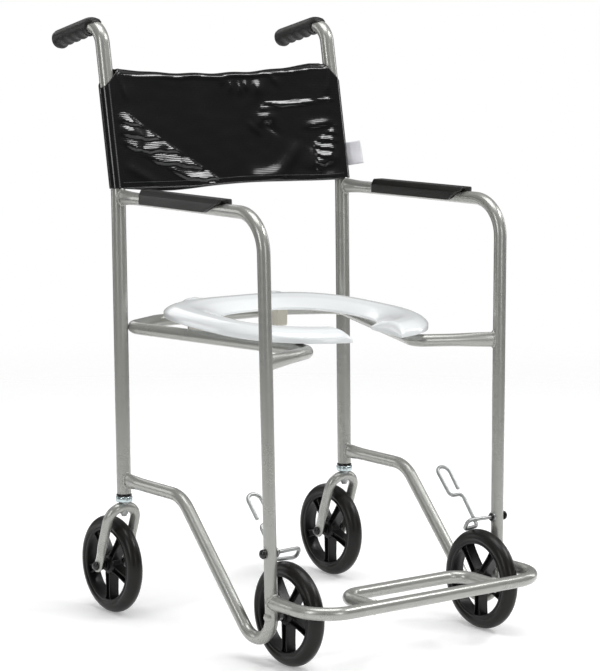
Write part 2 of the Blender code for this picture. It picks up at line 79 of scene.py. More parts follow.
FOOTREST_Z = 0.0975
FOOTREST_Y = -0.4925
FOOTREST_BEND = 0.055
LOOP_Y = -0.411
LOOP_HALF = 0.114
SEAT_BOTTOM_Z = 0.4665
SEAT_SLOPE = 0.035
SEAT_GAP = 0.052
SEAT_BAR_Y = 0.040
SEAT_BAR_Z = 0.451
SEAT_RAIL_FRONT_Z = 0.442
BRAKE_Z = 0.169
WIRE_R = 0.0028
SLING_LOW_Z = 0.663
SLING_TOP_Z = 0.846
SLING_HALF = 0.2293
PAD_REAR_Y = {"left": -0.079, "right": -0.065}
SLING_WRAP = 0.0131        # the vinyl's outer face around a post, from the post's axis
SIDES = (("left", 1), ("right", -1))
WELD_BACK = 0.03           # where a weld's search for the post's face starts, before its axis
CLIP_X = 0.080
PAD_HALF = 0.01375
PAD_LOW = -0.0055
PAD_TOP = 0.0158
SEAT_RUN = 0.96            # length of the seat's ring from tip to tip
ACROSS = Vector((1.0, 0.0, 0.0))
BACKWARD = Vector((0.0, 1.0, 0.0))
UP = Vector((0.0, 0.0, 1.0))

looks = bpy.data.collections.new("looks")
bpy.context.scene.collection.children.link(looks)


# ---- camera ------------------------------------------------------------------
def make_camera():
    """A long lens, in front of the chair and a little to its right."""
    turn = math.radians(-37.198)
    pitch = math.radians(7.821)
    roll = math.radians(0.266)
    back = Vector((
        math.sin(turn) * math.cos(pitch),
        -math.cos(turn) * math.cos(pitch),
        math.sin(pitch),
    ))
    level = Vector((math.cos(turn), math.sin(turn), 0.0))
    above = back.cross(level)
    right = level * math.cos(roll) + above * math.sin(roll)
    above = above * math.cos(roll) - level * math.sin(roll)
    lens = bpy.data.cameras.new("camera")
    lens.lens = 132.15
    lens.sensor_width = 36.0
    lens.clip_end = 60.0
    camera = bpy.data.objects.new("camera", lens)
    stand = Vector((-2.25628, REAR_Y - 3.13533, 0.95288))
    matrix = Matrix((right, above, back)).transposed().to_4x4()
    matrix.translation = stand
    camera.matrix_world = matrix
    bpy.context.scene.collection.objects.link(camera)
    bpy.context.scene.camera = camera


make_camera()


# ---- shared shader groups ----------------------------------------------------
def new_group(name, inputs, outputs):
    """A group with number sockets: also its inputs, its results and the piece's own coordinates."""
    group = bpy.data.node_groups.new(name, "ShaderNodeTree")
    for label, value in inputs:
        socket = group.interface.new_socket(label, in_out="INPUT", socket_type="NodeSocketFloat")
        socket.default_value = value
    for label in outputs:
        group.interface.new_socket(label, in_out="OUTPUT", socket_type="NodeSocketFloat")
    given = group.nodes.new("NodeGroupInput").outputs
    result = group.nodes.new("NodeGroupOutput").inputs
    place = group.nodes.new("ShaderNodeTexCoord").outputs["Object"]
    return group, given, result, place


def feed(tree, socket, value):
    """Set a socket to a number, or link another node's output to it."""
    if isinstance(value, (int, float)):
        socket.default_value = value
    else:
        tree.links.new(value, socket)


def math_node(tree, operation, *values):
    node = tree.nodes.new("ShaderNodeMath")
    node.operation = operation
    for socket, value in zip(node.inputs, values):
        feed(tree, socket, value)
    return node.outputs[0]


def noise_node(tree, place, scale, detail=2.0, rough=0.5):
    node = tree.nodes.new("ShaderNodeTexNoise")
    tree.links.new(place, node.inputs["Vector"])
    feed(tree, node.inputs["Scale"], scale)
    node.inputs["Detail"].default_value = detail
    node.inputs["Roughness"].default_value = rough
    return node.outputs["Fac"]


def make_mottle():
    """Uneven tone and a fine surface height, as any moulded or painted face has."""
    group, given, result, place = new_group("mottle", (("Coarse", 12.0), ("Fine", 400.0)), ("Tone", "Height"))
    slow = noise_node(group, place, given["Coarse"], 3.0, 0.6)
    quick = noise_node(group, place, given["Fine"], 2.0, 0.5)
    share = math_node(group, "MULTIPLY", quick, 0.3)
    tone = math_node(group, "MULTIPLY_ADD", slow, 0.7, share)
    group.links.new(tone, result["Tone"])
    group.links.new(quick, result["Height"])
    return group


def make_pebble():
    """Small rounded cells, as on moulded rubber."""
    group, given, result, place = new_group("pebble", (("Cells", 900.0),), ("Height",))
    cells = group.nodes.new("ShaderNodeTexVoronoi")
    cells.feature = "SMOOTH_F1"
    group.links.new(place, cells.inputs["Vector"])
    group.links.new(given["Cells"], cells.inputs["Scale"])
    group.links.new(cells.outputs["Distance"], result["Height"])
    return group


def make_scratches():
    """Thin faint marks running along Z, as handling leaves."""
    group, given, result, place = new_group("scratches", (("Scale", 60.0), ("Least", 0.62)), ("Mask",))
    stretch = group.nodes.new("ShaderNodeMapping")
    stretch.inputs["Scale"].default_value = (1.0, 1.0, 0.12)
    group.links.new(place, stretch.inputs["Vector"])
    marks = noise_node(group, stretch.outputs["Vector"], given["Scale"], 6.0, 0.7)
    over = math_node(group, "SUBTRACT", marks, given["Least"])
    strong = math_node(group, "MULTIPLY", over, 8.0)
    strong.node.use_clamp = True
    group.links.new(strong, result["Mask"])
    return group


def make_ribbing():
    """Fine level ribs pressed into sheet vinyl, broken up a little."""
    group, given, result, place = new_group("ribbing", (("Pitch", 0.0024),), ("Height",))
    apart = group.nodes.new("ShaderNodeSeparateXYZ")
    group.links.new(place, apart.inputs["Vector"])
    wobble = noise_node(group, place, 45.0, 3.0, 0.6)
    drift = math_node(group, "MULTIPLY", wobble, 0.0022)
    level = math_node(group, "ADD", apart.outputs["Z"], drift)
    turns = math_node(group, "DIVIDE", level, given["Pitch"])
    angle = math_node(group, "MULTIPLY", turns, 2 * math.pi)
    wave = math_node(group, "SINE", angle)
    depth = math_node(group, "MULTIPLY", wave, noise_node(group, place, 30.0, 2.0))
    group.links.new(depth, result["Height"])
    return group


def make_weave():
    """Plain woven threads, over and under, for a small cloth label; its tone is painted shade, darker in the
    weave's low parts.
    """
    group, given, result, place = new_group("weave", (("Thread", 0.0005),), ("Height", "Tone"))
    apart = group.nodes.new("ShaderNodeSeparateXYZ")
    group.links.new(place, apart.inputs["Vector"])
    waves = []
    for way in ("X", "Z"):
        turns = math_node(group, "DIVIDE", apart.outputs[way], given["Thread"])
        angle = math_node(group, "MULTIPLY", turns, math.pi)
        waves.append(math_node(group, "SINE", angle))
    cloth = math_node(group, "MULTIPLY", waves[0], waves[1])
    group.links.new(cloth, result["Height"])
    # Painted shade: the tone follows the weave's height and is darkest in the dips between threads.
    tone = math_node(group, "MULTIPLY_ADD", cloth, 0.5, 0.5)
    group.links.new(tone, result["Tone"])
    return group


MOTTLE = make_mottle()
PEBBLE = make_pebble()
SCRATCHES = make_scratches()
RIBBING = make_ribbing()
WEAVE = make_weave()


# ---- materials ---------------------------------------------------------------
def put_group(tree, group, **values):
    node = tree.nodes.new("ShaderNodeGroup")
    node.node_tree = group
    for label, value in values.items():
        node.inputs[label].default_value = value
    return node


def blend_colour(tree, mask, first, second):
    node = tree.nodes.new("ShaderNodeMix")
    node.data_type = "RGBA"
    tree.links.new(mask, node.inputs["Factor"])
    for label, colour in (("A", first), ("B", second)):
        socket = [s for s in node.inputs if s.name == label and s.type == "RGBA"][0]
        if isinstance(colour, tuple):
            socket.default_value = (*colour, 1.0)
        else:
            tree.links.new(colour, socket)
    return [s for s in node.outputs if s.type == "RGBA"][0]


def spread(tree, value, low, high):
    node = tree.nodes.new("ShaderNodeMapRange")
    tree.links.new(value, node.inputs["Value"])
    node.inputs["From Min"].default_value = 0.3
    node.inputs["From Max"].default_value = 0.7
    node.inputs["To Min"].default_value = low
    node.inputs["To Max"].default_value = high
    return node.outputs["Result"]


def bump(tree, height, depth, strength=1.0, under=None):
    node = tree.nodes.new("ShaderNodeBump")
    node.inputs["Strength"].default_value = strength
    node.inputs["Distance"].default_value = depth
    tree.links.new(height, node.inputs["Height"])
    if under is not None:
        tree.links.new(under, node.inputs["Normal"])
    return node.outputs["Normal"]


def finish_coat(name, light, dark, rough, coarse, fine, depth, metallic=0.0, coat=0.0):
    """A mottled base colour, uneven gloss and a fine bump: the start of most finishes."""
    made = bpy.data.materials.new(name)
    made.use_nodes = True
    tree = made.node_tree
    shader = tree.nodes["Principled BSDF"]
    surface = put_group(tree, MOTTLE, Coarse=coarse, Fine=fine)
    colour = blend_colour(tree, surface.outputs["Tone"], dark, light)
    tree.links.new(colour, shader.inputs["Base Color"])
    gloss = spread(tree, surface.outputs["Tone"], rough[0], rough[1])
    tree.links.new(gloss, shader.inputs["Roughness"])
    normal = bump(tree, surface.outputs["Height"], depth, 0.5)
    tree.links.new(normal, shader.inputs["Normal"])
    shader.inputs["Metallic"].default_value = metallic
    shader.inputs["Coat Weight"].default_value = coat
    shader.inputs["Coat Roughness"].default_value = 0.08
    return made, tree, shader, colour, normal


def add_scratches(tree, shader, colour, scale, least, tint):
    marks = put_group(tree, SCRATCHES, Scale=scale, Least=least)
    worn = blend_colour(tree, marks.outputs["Mask"], colour, tint)
    tree.links.new(worn, shader.inputs["Base Color"])


def silver_paint():
    made, tree, shader, colour, _normal = finish_coat(
        "silver_paint", (0.372, 0.375, 0.353), (0.342, 0.345, 0.323), (0.24, 0.32),
        9.0, 1500.0, 0.00004, metallic=0.50, coat=0.40,
    )
    add_scratches(tree, shader, colour, 70.0, 0.74, (0.41, 0.41, 0.39))
    return made


def black_vinyl():
    made, tree, shader, _colour, normal = finish_coat(
        "black_vinyl", (0.0036, 0.0036, 0.0040), (0.0022, 0.0022, 0.0024), (0.10, 0.16),
        14.0, 700.0, 0.00003, coat=0.0,
    )
    ribs = put_group(tree, RIBBING, Pitch=0.0026)
    normal = bump(tree, ribs.outputs["Height"], 0.00007, 1.0, normal)
    tree.links.new(normal, shader.inputs["Normal"])
    shader.inputs["Specular IOR Level"].default_value = 0.55
    return made


def label_cloth():
    made, tree, shader, colour, normal = finish_coat(
        "white_cloth", (0.86, 0.86, 0.89), (0.78, 0.78, 0.82), (0.85, 0.95), 60.0, 900.0, 0.0001,
    )
    threads = put_group(tree, WEAVE, Thread=0.0007)
    # Painted shade: the cloth is made darker in the weave's low parts, between the threads.
    weave_painted_shade = blend_colour(tree, threads.outputs["Tone"], (0.74, 0.74, 0.78), colour)
    tree.links.new(weave_painted_shade, shader.inputs["Base Color"])
    normal = bump(tree, threads.outputs["Height"], 0.00015, 0.8, normal)
    tree.links.new(normal, shader.inputs["Normal"])
    shader.inputs["Sheen Weight"].default_value = 0.3
    return made


def grip_rubber():
    made, tree, shader, _colour, normal = finish_coat(
        "grip_rubber", (0.0090, 0.0086, 0.0080), (0.0045, 0.0043, 0.0040), (0.36, 0.50),
        60.0, 1200.0, 0.0001,
    )
    shader.inputs["Specular IOR Level"].default_value = 0.36
    cells = put_group(tree, PEBBLE, Cells=1100.0)
    normal = bump(tree, cells.outputs["Height"], 0.00022, 0.8, normal)
    tree.links.new(normal, shader.inputs["Normal"])
    return made


def pad_plastic():
    made, tree, shader, colour, normal = finish_coat(
        "pad_plastic", (0.0110, 0.0103, 0.0092), (0.0060, 0.0057, 0.0052), (0.34, 0.44),
        30.0, 1300.0, 0.0001,
    )
    cells = put_group(tree, PEBBLE, Cells=1700.0)
    normal = bump(tree, cells.outputs["Height"], 0.00010, 0.6, normal)
    tree.links.new(normal, shader.inputs["Normal"])
    add_scratches(tree, shader, colour, 90.0, 0.7, (0.022, 0.021, 0.020))
    return made


def simple_finishes():
    """The moulded and plated finishes that need only the mottled coat."""
    rows = (
        # name, light colour, dark colour, roughness, coarse and fine grain, depth, metal, coat
        ("white_plastic", (0.765, 0.785, 0.790), (0.735, 0.755, 0.762), (0.17, 0.25),
         6.0, 500.0, 0.00003, 0.0, 0.3),
        ("tyre_rubber", (0.0105, 0.0095, 0.0082), (0.0050, 0.0047, 0.0042), (0.27, 0.38),
         22.0, 900.0, 0.00006, 0.0, 0.0),
        ("rim_plastic", (0.0065, 0.0063, 0.0058), (0.0035, 0.0034, 0.0033), (0.26, 0.38),
         40.0, 1500.0, 0.00006, 0.0, 0.0),
        ("zinc_plate", (0.42, 0.43, 0.42), (0.30, 0.31, 0.31), (0.28, 0.40),
         60.0, 900.0, 0.00001, 0.9, 0.0),
        ("bright_zinc", (0.62, 0.70, 0.72), (0.46, 0.54, 0.56), (0.20, 0.30),
         90.0, 900.0, 0.00001, 1.0, 0.0),
        ("cap_plastic", (0.0055, 0.0055, 0.0055), (0.0030, 0.0030, 0.0030), (0.16, 0.26),
         50.0, 900.0, 0.00003, 0.0, 0.0),
        ("beige_plastic", (0.56, 0.535, 0.46), (0.48, 0.455, 0.385), (0.42, 0.55),
         40.0, 900.0, 0.00010, 0.0, 0.0),
        ("black_binding", (0.0080, 0.0078, 0.0076), (0.0045, 0.0044, 0.0043), (0.38, 0.50),
         60.0, 1200.0, 0.00006, 0.0, 0.0),
        ("thread", (0.30, 0.30, 0.30), (0.10, 0.10, 0.10), (0.55, 0.7),
         300.0, 3000.0, 0.00005, 0.0, 0.0),
    )
    made = {}
    for row in rows:
        made[row[0]] = finish_coat(*row)[0]
    return made


def dull(name, level):
    FINISH[name].node_tree.nodes["Principled BSDF"].inputs["Specular IOR Level"].default_value = level


FINISH = simple_finishes()
dull("tyre_rubber", 0.26)
dull("rim_plastic", 0.26)
# Painted light: the seat's white plastic glows faintly, so it looks brighter than the lamps alone would make
# it.
seat_painted_glow = FINISH["white_plastic"].node_tree.nodes["Principled BSDF"].inputs
seat_painted_glow["Emission Color"].default_value = (0.92, 0.97, 1.0, 1.0)
seat_painted_glow["Emission Strength"].default_value = 0.05
FINISH["silver_paint"] = silver_paint()
FINISH["black_vinyl"] = black_vinyl()
FINISH["white_cloth"] = label_cloth()
FINISH["grip_rubber"] = grip_rubber()
FINISH["pad_plastic"] = pad_plastic()


# ---- paths and meshes --------------------------------------------------------
def at(x, y, z):
    """A point given from the rear posts' foot line, in the chair's own frame."""
    return Vector((x, y + REAR_Y, z))


def rear_post(side, z):
    return at(side * HALF_WIDTH, REAR_LEAN * (z - LEAN_FROM_Z), z)


def front_post(side, z):
    rise = z - LEAN_FROM_Z
    return at(side * (HALF_WIDTH + FRONT_SPLAY * rise), FRONT_LEAN * rise - DEPTH, z)


def back_y(z):
    return REAR_LEAN * (KNEE_Z - LEAN_FROM_Z) + BACK_LEAN * (z - KNEE_Z)


def swivel_point(side, z):
    return at(side * HALF_WIDTH, REAR_LEAN * (POST_FOOT_Z - LEAN_FROM_Z), z)


def ease(value):
    value = min(1.0, max(0.0, value))
    return value * value * (3.0 - 2.0 * value)


def rounded(corners, radii, steps=18):
    """A path through the corners, each one rounded to its radius by an arc."""
    path = [corners[0]]
    for before, corner, after, radius in zip(corners, corners[1:], corners[2:], radii):
        into = (corner - before).normalized()
        out = (after - corner).normalized()
        turn = into.angle(out)
        if turn < 0.01:
            path.append(corner)
            continue
        start = corner - into * radius * math.tan(turn / 2)
        centre = corner + (out - into).normalized() * radius / math.cos(turn / 2)
        spin = into.cross(out).normalized()
        count = max(3, round(steps * turn / (math.pi / 2)))
        for step in range(count + 1):
            swing = Matrix.Rotation(turn * step / count, 3, spin)
            path.append(centre + swing @ (start - centre))
    path.append(corners[-1])
    return path


def refined(path, spacing=0.004, reach=0.07):
    """The path with extra points near its two ends, where a tube changes section."""
    total = sum((b - a).length for a, b in zip(path, path[1:]))
    fine = [path[0]]
    done = 0.0
    for a, b in zip(path, path[1:]):
        length = (b - a).length
        count = max(1, round(length / spacing))
        for step in range(1, count + 1):
            here = done + length * step / count
            if step == count or min(here, total - here) < reach:
                fine.append(a.lerp(b, step / count))
        done += length
    return fine


def bridge(shape, low, high, loop=False, flip=False):
    """Four-sided faces between two rows of vertices."""
    count = len(low)
    for i in range(count if loop else count - 1):
        j = (i + 1) % count
        corners = (low[i], low[j], high[j], high[i])
        shape.faces.new(corners[::-1] if flip else corners)


def new_piece(name, shape, stuff, sharp=None):
    """A smooth object among the looks, made from a finished shape."""
    mesh = bpy.data.meshes.new(name)
    shape.to_mesh(mesh)
    shape.free()
    mesh.shade_smooth()
    if sharp is not None:
        mesh.set_sharp_from_angle(angle=math.radians(sharp))
    mesh.materials.append(FINISH[stuff])
    thing = bpy.data.objects.new(name, mesh)
    looks.objects.link(thing)
    return thing


def skin(name, rings, stuff, caps=True, ring_of_rings=False, sharp=42):
    """A mesh through rings of points, with its ends filled if they are to be closed."""
    shape = bmesh.new()
    made = [[shape.verts.new(point) for point in ring] for ring in rings]
    pairs = list(zip(made, made[1:]))
    if ring_of_rings:
        pairs.append((made[-1], made[0]))
    for low, high in pairs:
        bridge(shape, low, high, loop=True)
    if caps and not ring_of_rings:
        shape.faces.new(made[0][::-1])
        shape.faces.new(made[-1])
    bmesh.ops.remove_doubles(shape, verts=shape.verts, dist=0.0000005)
    bmesh.ops.recalc_face_normals(shape, faces=shape.faces)
    return new_piece(name, shape, stuff, sharp)


def travelled(path):
    """How far along the path each of its points is."""
    reach = [0.0]
    for a, b in zip(path, path[1:]):
        reach.append(reach[-1] + (b - a).length)
    return reach


def circle(sides):
    """The angles of evenly spaced points around a circle."""
    return [2 * math.pi * k / sides for k in range(sides)]


def sweep(name, path, size, side, stuff, sides=28, closed=False):
    """A tube along a path; size(d, total, angle) gives its two half-widths."""
    reach = travelled(path)
    rings = []
    count = len(path)
    for i, point in enumerate(path):
        before = path[i - 1] if closed else path[max(i - 1, 0)]
        after = path[(i + 1) % count] if closed else path[min(i + 1, count - 1)]
        along = (after - before).normalized()
        first = (side - along * side.dot(along)).normalized()
        second = along.cross(first)
        ring = []
        for angle in circle(sides):
            wide, deep = size(reach[i], reach[-1], angle)
            ring.append(point + first * wide * math.cos(angle) + second * deep * math.sin(angle))
        rings.append(ring)
    return skin(name, rings, stuff, ring_of_rings=closed)


def plain(radius, round_end=0.0):
    """A round section, with its last stretch rounded off if round_end is given."""
    def size(d, total, _angle):
        near = min(d, total - d)
        scale = 1.0
        if round_end > 0.0 and near < round_end:
            scale = math.sqrt(max(0.04, 1.0 - (1.0 - near / round_end) ** 2))
        return radius * scale, radius * scale
    return size


def pressed(radius, start=0.0, end=0.0, length=0.035):
    """A round tube whose ends are pressed: the first half-width shrinks, the second grows."""
    def size(d, total, _angle):
        flat = max(start * ease(1.0 - d / length), end * ease(1.0 - (total - d) / length))
        return radius * (1.0 - flat), radius * (1.0 + 0.65 * flat)
    return size


def lathe(name, profile, where, stuff, axis="Z", steps=48, sharp=38):
    """Turn (radius, height) points about an axis; heights run along +axis or -axis."""
    turn = {
        "Z": Matrix.Identity(3),
        "X": Matrix.Rotation(math.pi / 2, 3, "Y"),
        "-X": Matrix.Rotation(-math.pi / 2, 3, "Y"),
    }[axis]
    rings = []
    for radius, height in profile:
        spots = [(radius * math.cos(angle), radius * math.sin(angle), height) for angle in circle(steps)]
        rings.append([where + turn @ Vector(spot) for spot in spots])
    closed = profile[0][0] > 0.00001 and profile[-1][0] > 0.00001
    return skin(name, rings, stuff, caps=False, ring_of_rings=closed, sharp=sharp)


def facing(way):
    """The turning axis that points to the given side."""
    return "X" if way > 0 else "-X"


def soft_profile(corners, radius, steps=4):
    """A lathe profile with its inner corners rounded a little."""
    flat = [Vector((r, 0.0, h)) for r, h in corners]
    return [(p.x, p.z) for p in rounded(flat, [radius] * (len(corners) - 2), steps)]


def small_ring(bore, start, outer, end, taper=0.0):
    """A washer's profile, from its bore to its outer face."""
    return [(bore, start), (outer, start), (outer - taper, end), (bore, end)]


def weld_bead(name, way, wide, post_at, post_way, post_r, thick, seed):
    """A wavy run of weld where a tube's end meets the post that it runs into."""
    way = way.normalized()
    post_way = post_way.normalized()
    across = way.cross(post_way).normalized()
    rise = across.cross(way)
    lead = way - post_way * way.dot(post_way)
    a = lead.length_squared
    path = []
    for angle in circle(60):
        offset = across * wide[0] * math.cos(angle) + rise * wide[1] * math.sin(angle)
        flat = offset - way * WELD_BACK
        point = post_at + flat
        flat = flat - post_way * flat.dot(post_way)
        b = 2 * flat.dot(lead)
        c = flat.length_squared - post_r ** 2
        root = max(0.0, b * b - 4 * a * c)
        path.append(point + way * (-b - math.sqrt(root)) / (2 * a))

    def size(d, _total, angle):
        ripple = 0.12 * math.sin(d / 0.0011) + 0.25 * noise.noise(Vector((d * 300, seed, angle * 0.4)))
        return thick * (1.0 + ripple), thick * (1.0 + ripple)

    put(sweep(name, path, size, way, "silver_paint", 10, closed=True), "frame", "silver_paint")


def put(thing, body, slot_name, *nodes):
    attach(thing, body)
    if nodes:
        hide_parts(*nodes)
    return thing


# ---- frame tubes -------------------------------------------------------------
def handle_path(side, end=HANDLE_END, foot=POST_FOOT_Z):
    x = side * HALF_WIDTH
    bend = at(x, HANDLE_CORNER_Y, HANDLE_CORNER_Z)
    tip = at(x, end, HANDLE_CORNER_Z - HANDLE_DROP * (end - HANDLE_CORNER_Y))
    return rounded([rear_post(side, foot), rear_post(side, KNEE_Z), bend, tip], [0.12, HANDLE_BEND])


def make_rear_post(word, side):
    def size(d, _total, _angle):
        lip = POST_R - 0.0009 * (1.0 - ease(d / 0.0012))
        return lip, lip
    path = refined(handle_path(side), 0.0006, 0.0025)
    post = sweep("rear_tube_" + word, path, size, ACROSS, "silver_paint", 36)
    put(post, "frame", "silver_paint", "rear_post_" + word)


def side_path(side):
    x = side * HALF_WIDTH
    corners = [
        at(x, REAR_LEAN * (ARM_Z - LEAN_FROM_Z) - POST_R + 0.004, ARM_Z),
        front_post(side, ARM_Z),
        front_post(side, TOE_CORNER_Z),
        at(x, LOW_CORNER_Y, LOW_CORNER_Z),
        at(x, -POST_R + 0.004, LOW_CORNER_Z),
    ]
    return rounded(corners, [ARM_BEND, TOE_BEND, LOW_BEND])


def make_side_frame(word, side):
    path = refined(side_path(side))
    tube = sweep("side_tube_" + word, path, pressed(TUBE_R, 0.34, 0.36, 0.045), ACROSS, "silver_paint", 32)
    put(tube, "frame", "silver_paint", "side_frame_" + word)
    for z, label, pinch in ((ARM_Z, "arm", 0.34), (LOW_CORNER_Z, "strut", 0.36)):
        post_at = rear_post(side, z)
        wide = (TUBE_R * (1 - pinch), TUBE_R * (1 + 0.65 * pinch))
        lean = rear_post(side, z + 0.1) - post_at
        weld_bead("weld_" + label + "_" + word, BACKWARD, wide, post_at, lean, POST_R, 0.0023, side * 3.1)


def make_drain_hole(word, side):
    """The small drilled hole low on the strut: a bare rim around a black disc, which is painted shade for the
    hole's dark inside.
    """
    low = front_post(side, TOE_CORNER_Z)
    high = at(side * HALF_WIDTH, LOW_CORNER_Y, LOW_CORNER_Z)
    run = (high - low).normalized()
    spot = low + run * 0.080
    out = Vector((side * -0.36, -0.92, 0.12))
    out = (out - run * out.dot(run)).normalized()
    across = out.cross(run).normalized()
    rings = []
    for radius, rise in ((0.0031, -0.0006), (0.0029, 0.0003), (0.0023, 0.0004), (0.0020, -0.0001)):
        ring = []
        for angle in circle(24):
            side_step = radius * math.sin(angle)
            sink = TUBE_R - math.sqrt(TUBE_R ** 2 - side_step ** 2)
            centre = spot + out * (TUBE_R + rise - sink)
            ring.append(centre + run * radius * math.cos(angle) + across * side_step)
        rings.append(ring)
    rim = skin("drain_rim_" + word, rings, "zinc_plate", caps=False)
    put(rim, "frame", "zinc_plate")
    # Painted shade: a black disc laid just over the tube inside the rim stands for the shadowed inside of the
    # hole.
    shade_disc_ring = [p - out * 0.0001 for p in rings[-1]]
    centre = spot + out * (TUBE_R + 0.0001)
    inner_ring = [centre.lerp(p, 0.3) for p in shade_disc_ring]
    cup = skin("drain_hole_painted_shade_" + word, [shade_disc_ring, inner_ring], "cap_plastic")
    put(cup, "frame", "cap_plastic")


def rail_end(side):
    """The rail's end on the front post, and its first bend."""
    return front_post(side, SEAT_RAIL_FRONT_Z - 0.001), at(side * 0.098, -0.318, SEAT_RAIL_FRONT_Z)


def seat_rail_corners():
    halves = []
    for side in (-1, 1):
        rear = at(side * 0.2050, 0.0, SEAT_BAR_Z)
        bar = at(side * 0.128, SEAT_BAR_Y, SEAT_BAR_Z)
        halves.append([*rail_end(side), rear, bar])
    return halves[0] + halves[1][::-1]


def make_seat_frame():
    corners = seat_rail_corners()
    path = refined(rounded(corners, [0.020, 0.026, 0.045, 0.045, 0.026, 0.020]), 0.004, 0.09)

    def size(d, total, angle):
        near = min(d, total - d)
        flat = 0.42 * ease(1.0 - near / 0.085)
        crease = 0.16 * flat * math.exp(-((math.sin(angle) + 0.15) / 0.22) ** 2) * ease(1.0 - near / 0.05)
        return TUBE_R * (1.0 + 0.55 * flat) * (1.0 - crease), TUBE_R * (1.0 - flat) * (1.0 - crease)

    rails = sweep("seat_rail_tube", path, size, UP, "silver_paint", 40)
    put(rails, "frame", "silver_paint", "seat_frame")
    for word, side in SIDES:
        post, knee = rail_end(side)
        wide = (TUBE_R * 0.58, TUBE_R * 1.23)
        lean = front_post(side, 0.6) - post
        weld_bead("weld_rail_" + word, post - knee, wide, post, lean, TUBE_R, 0.0020, side * 1.7)


def make_footrest():
    corners = []
    for side in (-1, 1):
        joint = front_post(side, FOOTREST_Z)
        turn = Vector((joint.x, FOOTREST_Y + REAR_Y, FOOTREST_Z))
        corners.append([joint - Vector((0.0, 0.004, 0.0)), turn])
    path = refined(rounded(corners[0] + corners[1][::-1], [FOOTREST_BEND] * 2, 24), 0.004, 0.05)

    def flared(d, total, _angle):
        near = min(d, total - d)
        flare = ease(1.0 - near / 0.030)
        return TUBE_R * (1.0 + 0.16 * flare), TUBE_R * (1.0 + 0.05 * flare)

    bar = sweep("footrest_bar", path, flared, UP, "silver_paint", 34)
    put(bar, "frame", "silver_paint", "footrest_tube")
    for word, side in SIDES:
        post = front_post(side, FOOTREST_Z)
        wide = (TUBE_R * 0.985, TUBE_R * 1.15)
        lean = front_post(side, 0.3) - post
        weld_bead("weld_foot_" + word, BACKWARD, wide, post, lean, TUBE_R, 0.0026, side * 5.3)
    bar_y = FOOTREST_Y + 0.003
    loop = [
        at(-LOOP_HALF, bar_y, FOOTREST_Z),
        at(-LOOP_HALF, LOOP_Y, FOOTREST_Z),
        at(LOOP_HALF, LOOP_Y, FOOTREST_Z),
        at(LOOP_HALF, bar_y, FOOTREST_Z),
    ]
    path = refined(rounded(loop, [0.032, 0.032]), 0.004, 0.03)
    inner = sweep("footrest_loop", path, plain(TUBE_R), UP, "silver_paint", 34)
    put(inner, "frame", "silver_paint", "footrest_inner_loop")
    for word, side in SIDES:
        post = at(side * LOOP_HALF, FOOTREST_Y, FOOTREST_Z)
        wide = (TUBE_R * 0.99, TUBE_R * 0.99)
        weld_bead("weld_loop_" + word, -BACKWARD, wide, post, ACROSS, TUBE_R, 0.0017, side * 7.9)


# ---- armrest pads and grips --------------------------------------------------
def pad_section():
    """Outer face over the top, then the inner face around the tube, as (x, z) points."""
    half = [(PAD_HALF, PAD_LOW), (PAD_HALF, 0.0080), (0.0094, PAD_TOP)]
    outer = [Vector((-x, 0.0, z)) for x, z in half] + [Vector((x, 0.0, z)) for x, z in half[::-1]]
    over = rounded(outer, [0.005, 0.0022, 0.0022, 0.005], 8)
    bore = TUBE_R + 0.0002
    edge = math.asin(PAD_LOW / bore)
    inner = []
    for k in range(25):
        angle = edge + (math.pi - 2 * edge) * k / 24
        inner.append(Vector((bore * math.cos(angle), 0.0, bore * math.sin(angle))))
    return [(p.x, p.z) for p in over + inner]


def make_pad(word, side):
    section = pad_section()
    middle_z = 0.004
    rear = PAD_REAR_Y[word]
    splay = FRONT_SPLAY * (ARM_Z - LEAN_FROM_Z) / DEPTH

    def front_edge(x, z):
        """The slanted cut up to a thick nose, rounded low down and at the nose's corners."""
        share = min(1.0, max(0.0, (z - PAD_LOW) / 0.0135))
        lean = 0.0200 if side < 0 else 0.0100
        cut = rear - 0.2035 + lean * (1.0 - 0.6 * share - 0.4 * share ** 2)
        round_low = 0.0090 * math.exp(-share * 6.0)
        nose = -0.0125 * ease((z - 0.0072) / 0.0022)
        round_tip = 0.0060 * abs(x / PAD_HALF) ** 3.0 * ease((z - 0.006) / 0.003)
        return cut + round_low + nose + round_tip

    stops = (0.0, 0.0006, 0.0016, 0.004, 0.02, 0.08)
    rings = []
    for end in ("rear", "front"):
        order = stops if end == "rear" else stops[::-1]
        for inset in order:
            shrink = 0.0012 * math.sqrt(max(0.0, 1.0 - min(1.0, inset / 0.0016)))
            ring = []
            for x, z in section:
                grow = Vector((x, z - middle_z))
                moved = grow * (1.0 - shrink / max(grow.length, 0.004))
                y = rear - inset if end == "rear" else front_edge(x, z) + inset
                ring.append(at(side * HALF_WIDTH + moved.x - side * splay * y, y, ARM_Z + moved.y + middle_z))
            rings.append(ring)
    pad = skin("arm_pad_" + word, rings, "pad_plastic", sharp=50)
    put(pad, "frame", "pad_plastic", "armrest_pad_" + word)


def walk(path):
    """Distances along a path, and a function giving the point and direction at one."""
    reach = travelled(path)

    def place(goal):
        i = 0
        while i < len(path) - 2 and reach[i + 1] < goal:
            i += 1
        way = (path[i + 1] - path[i]).normalized()
        return path[i] + way * (goal - reach[i]), way

    return reach, place


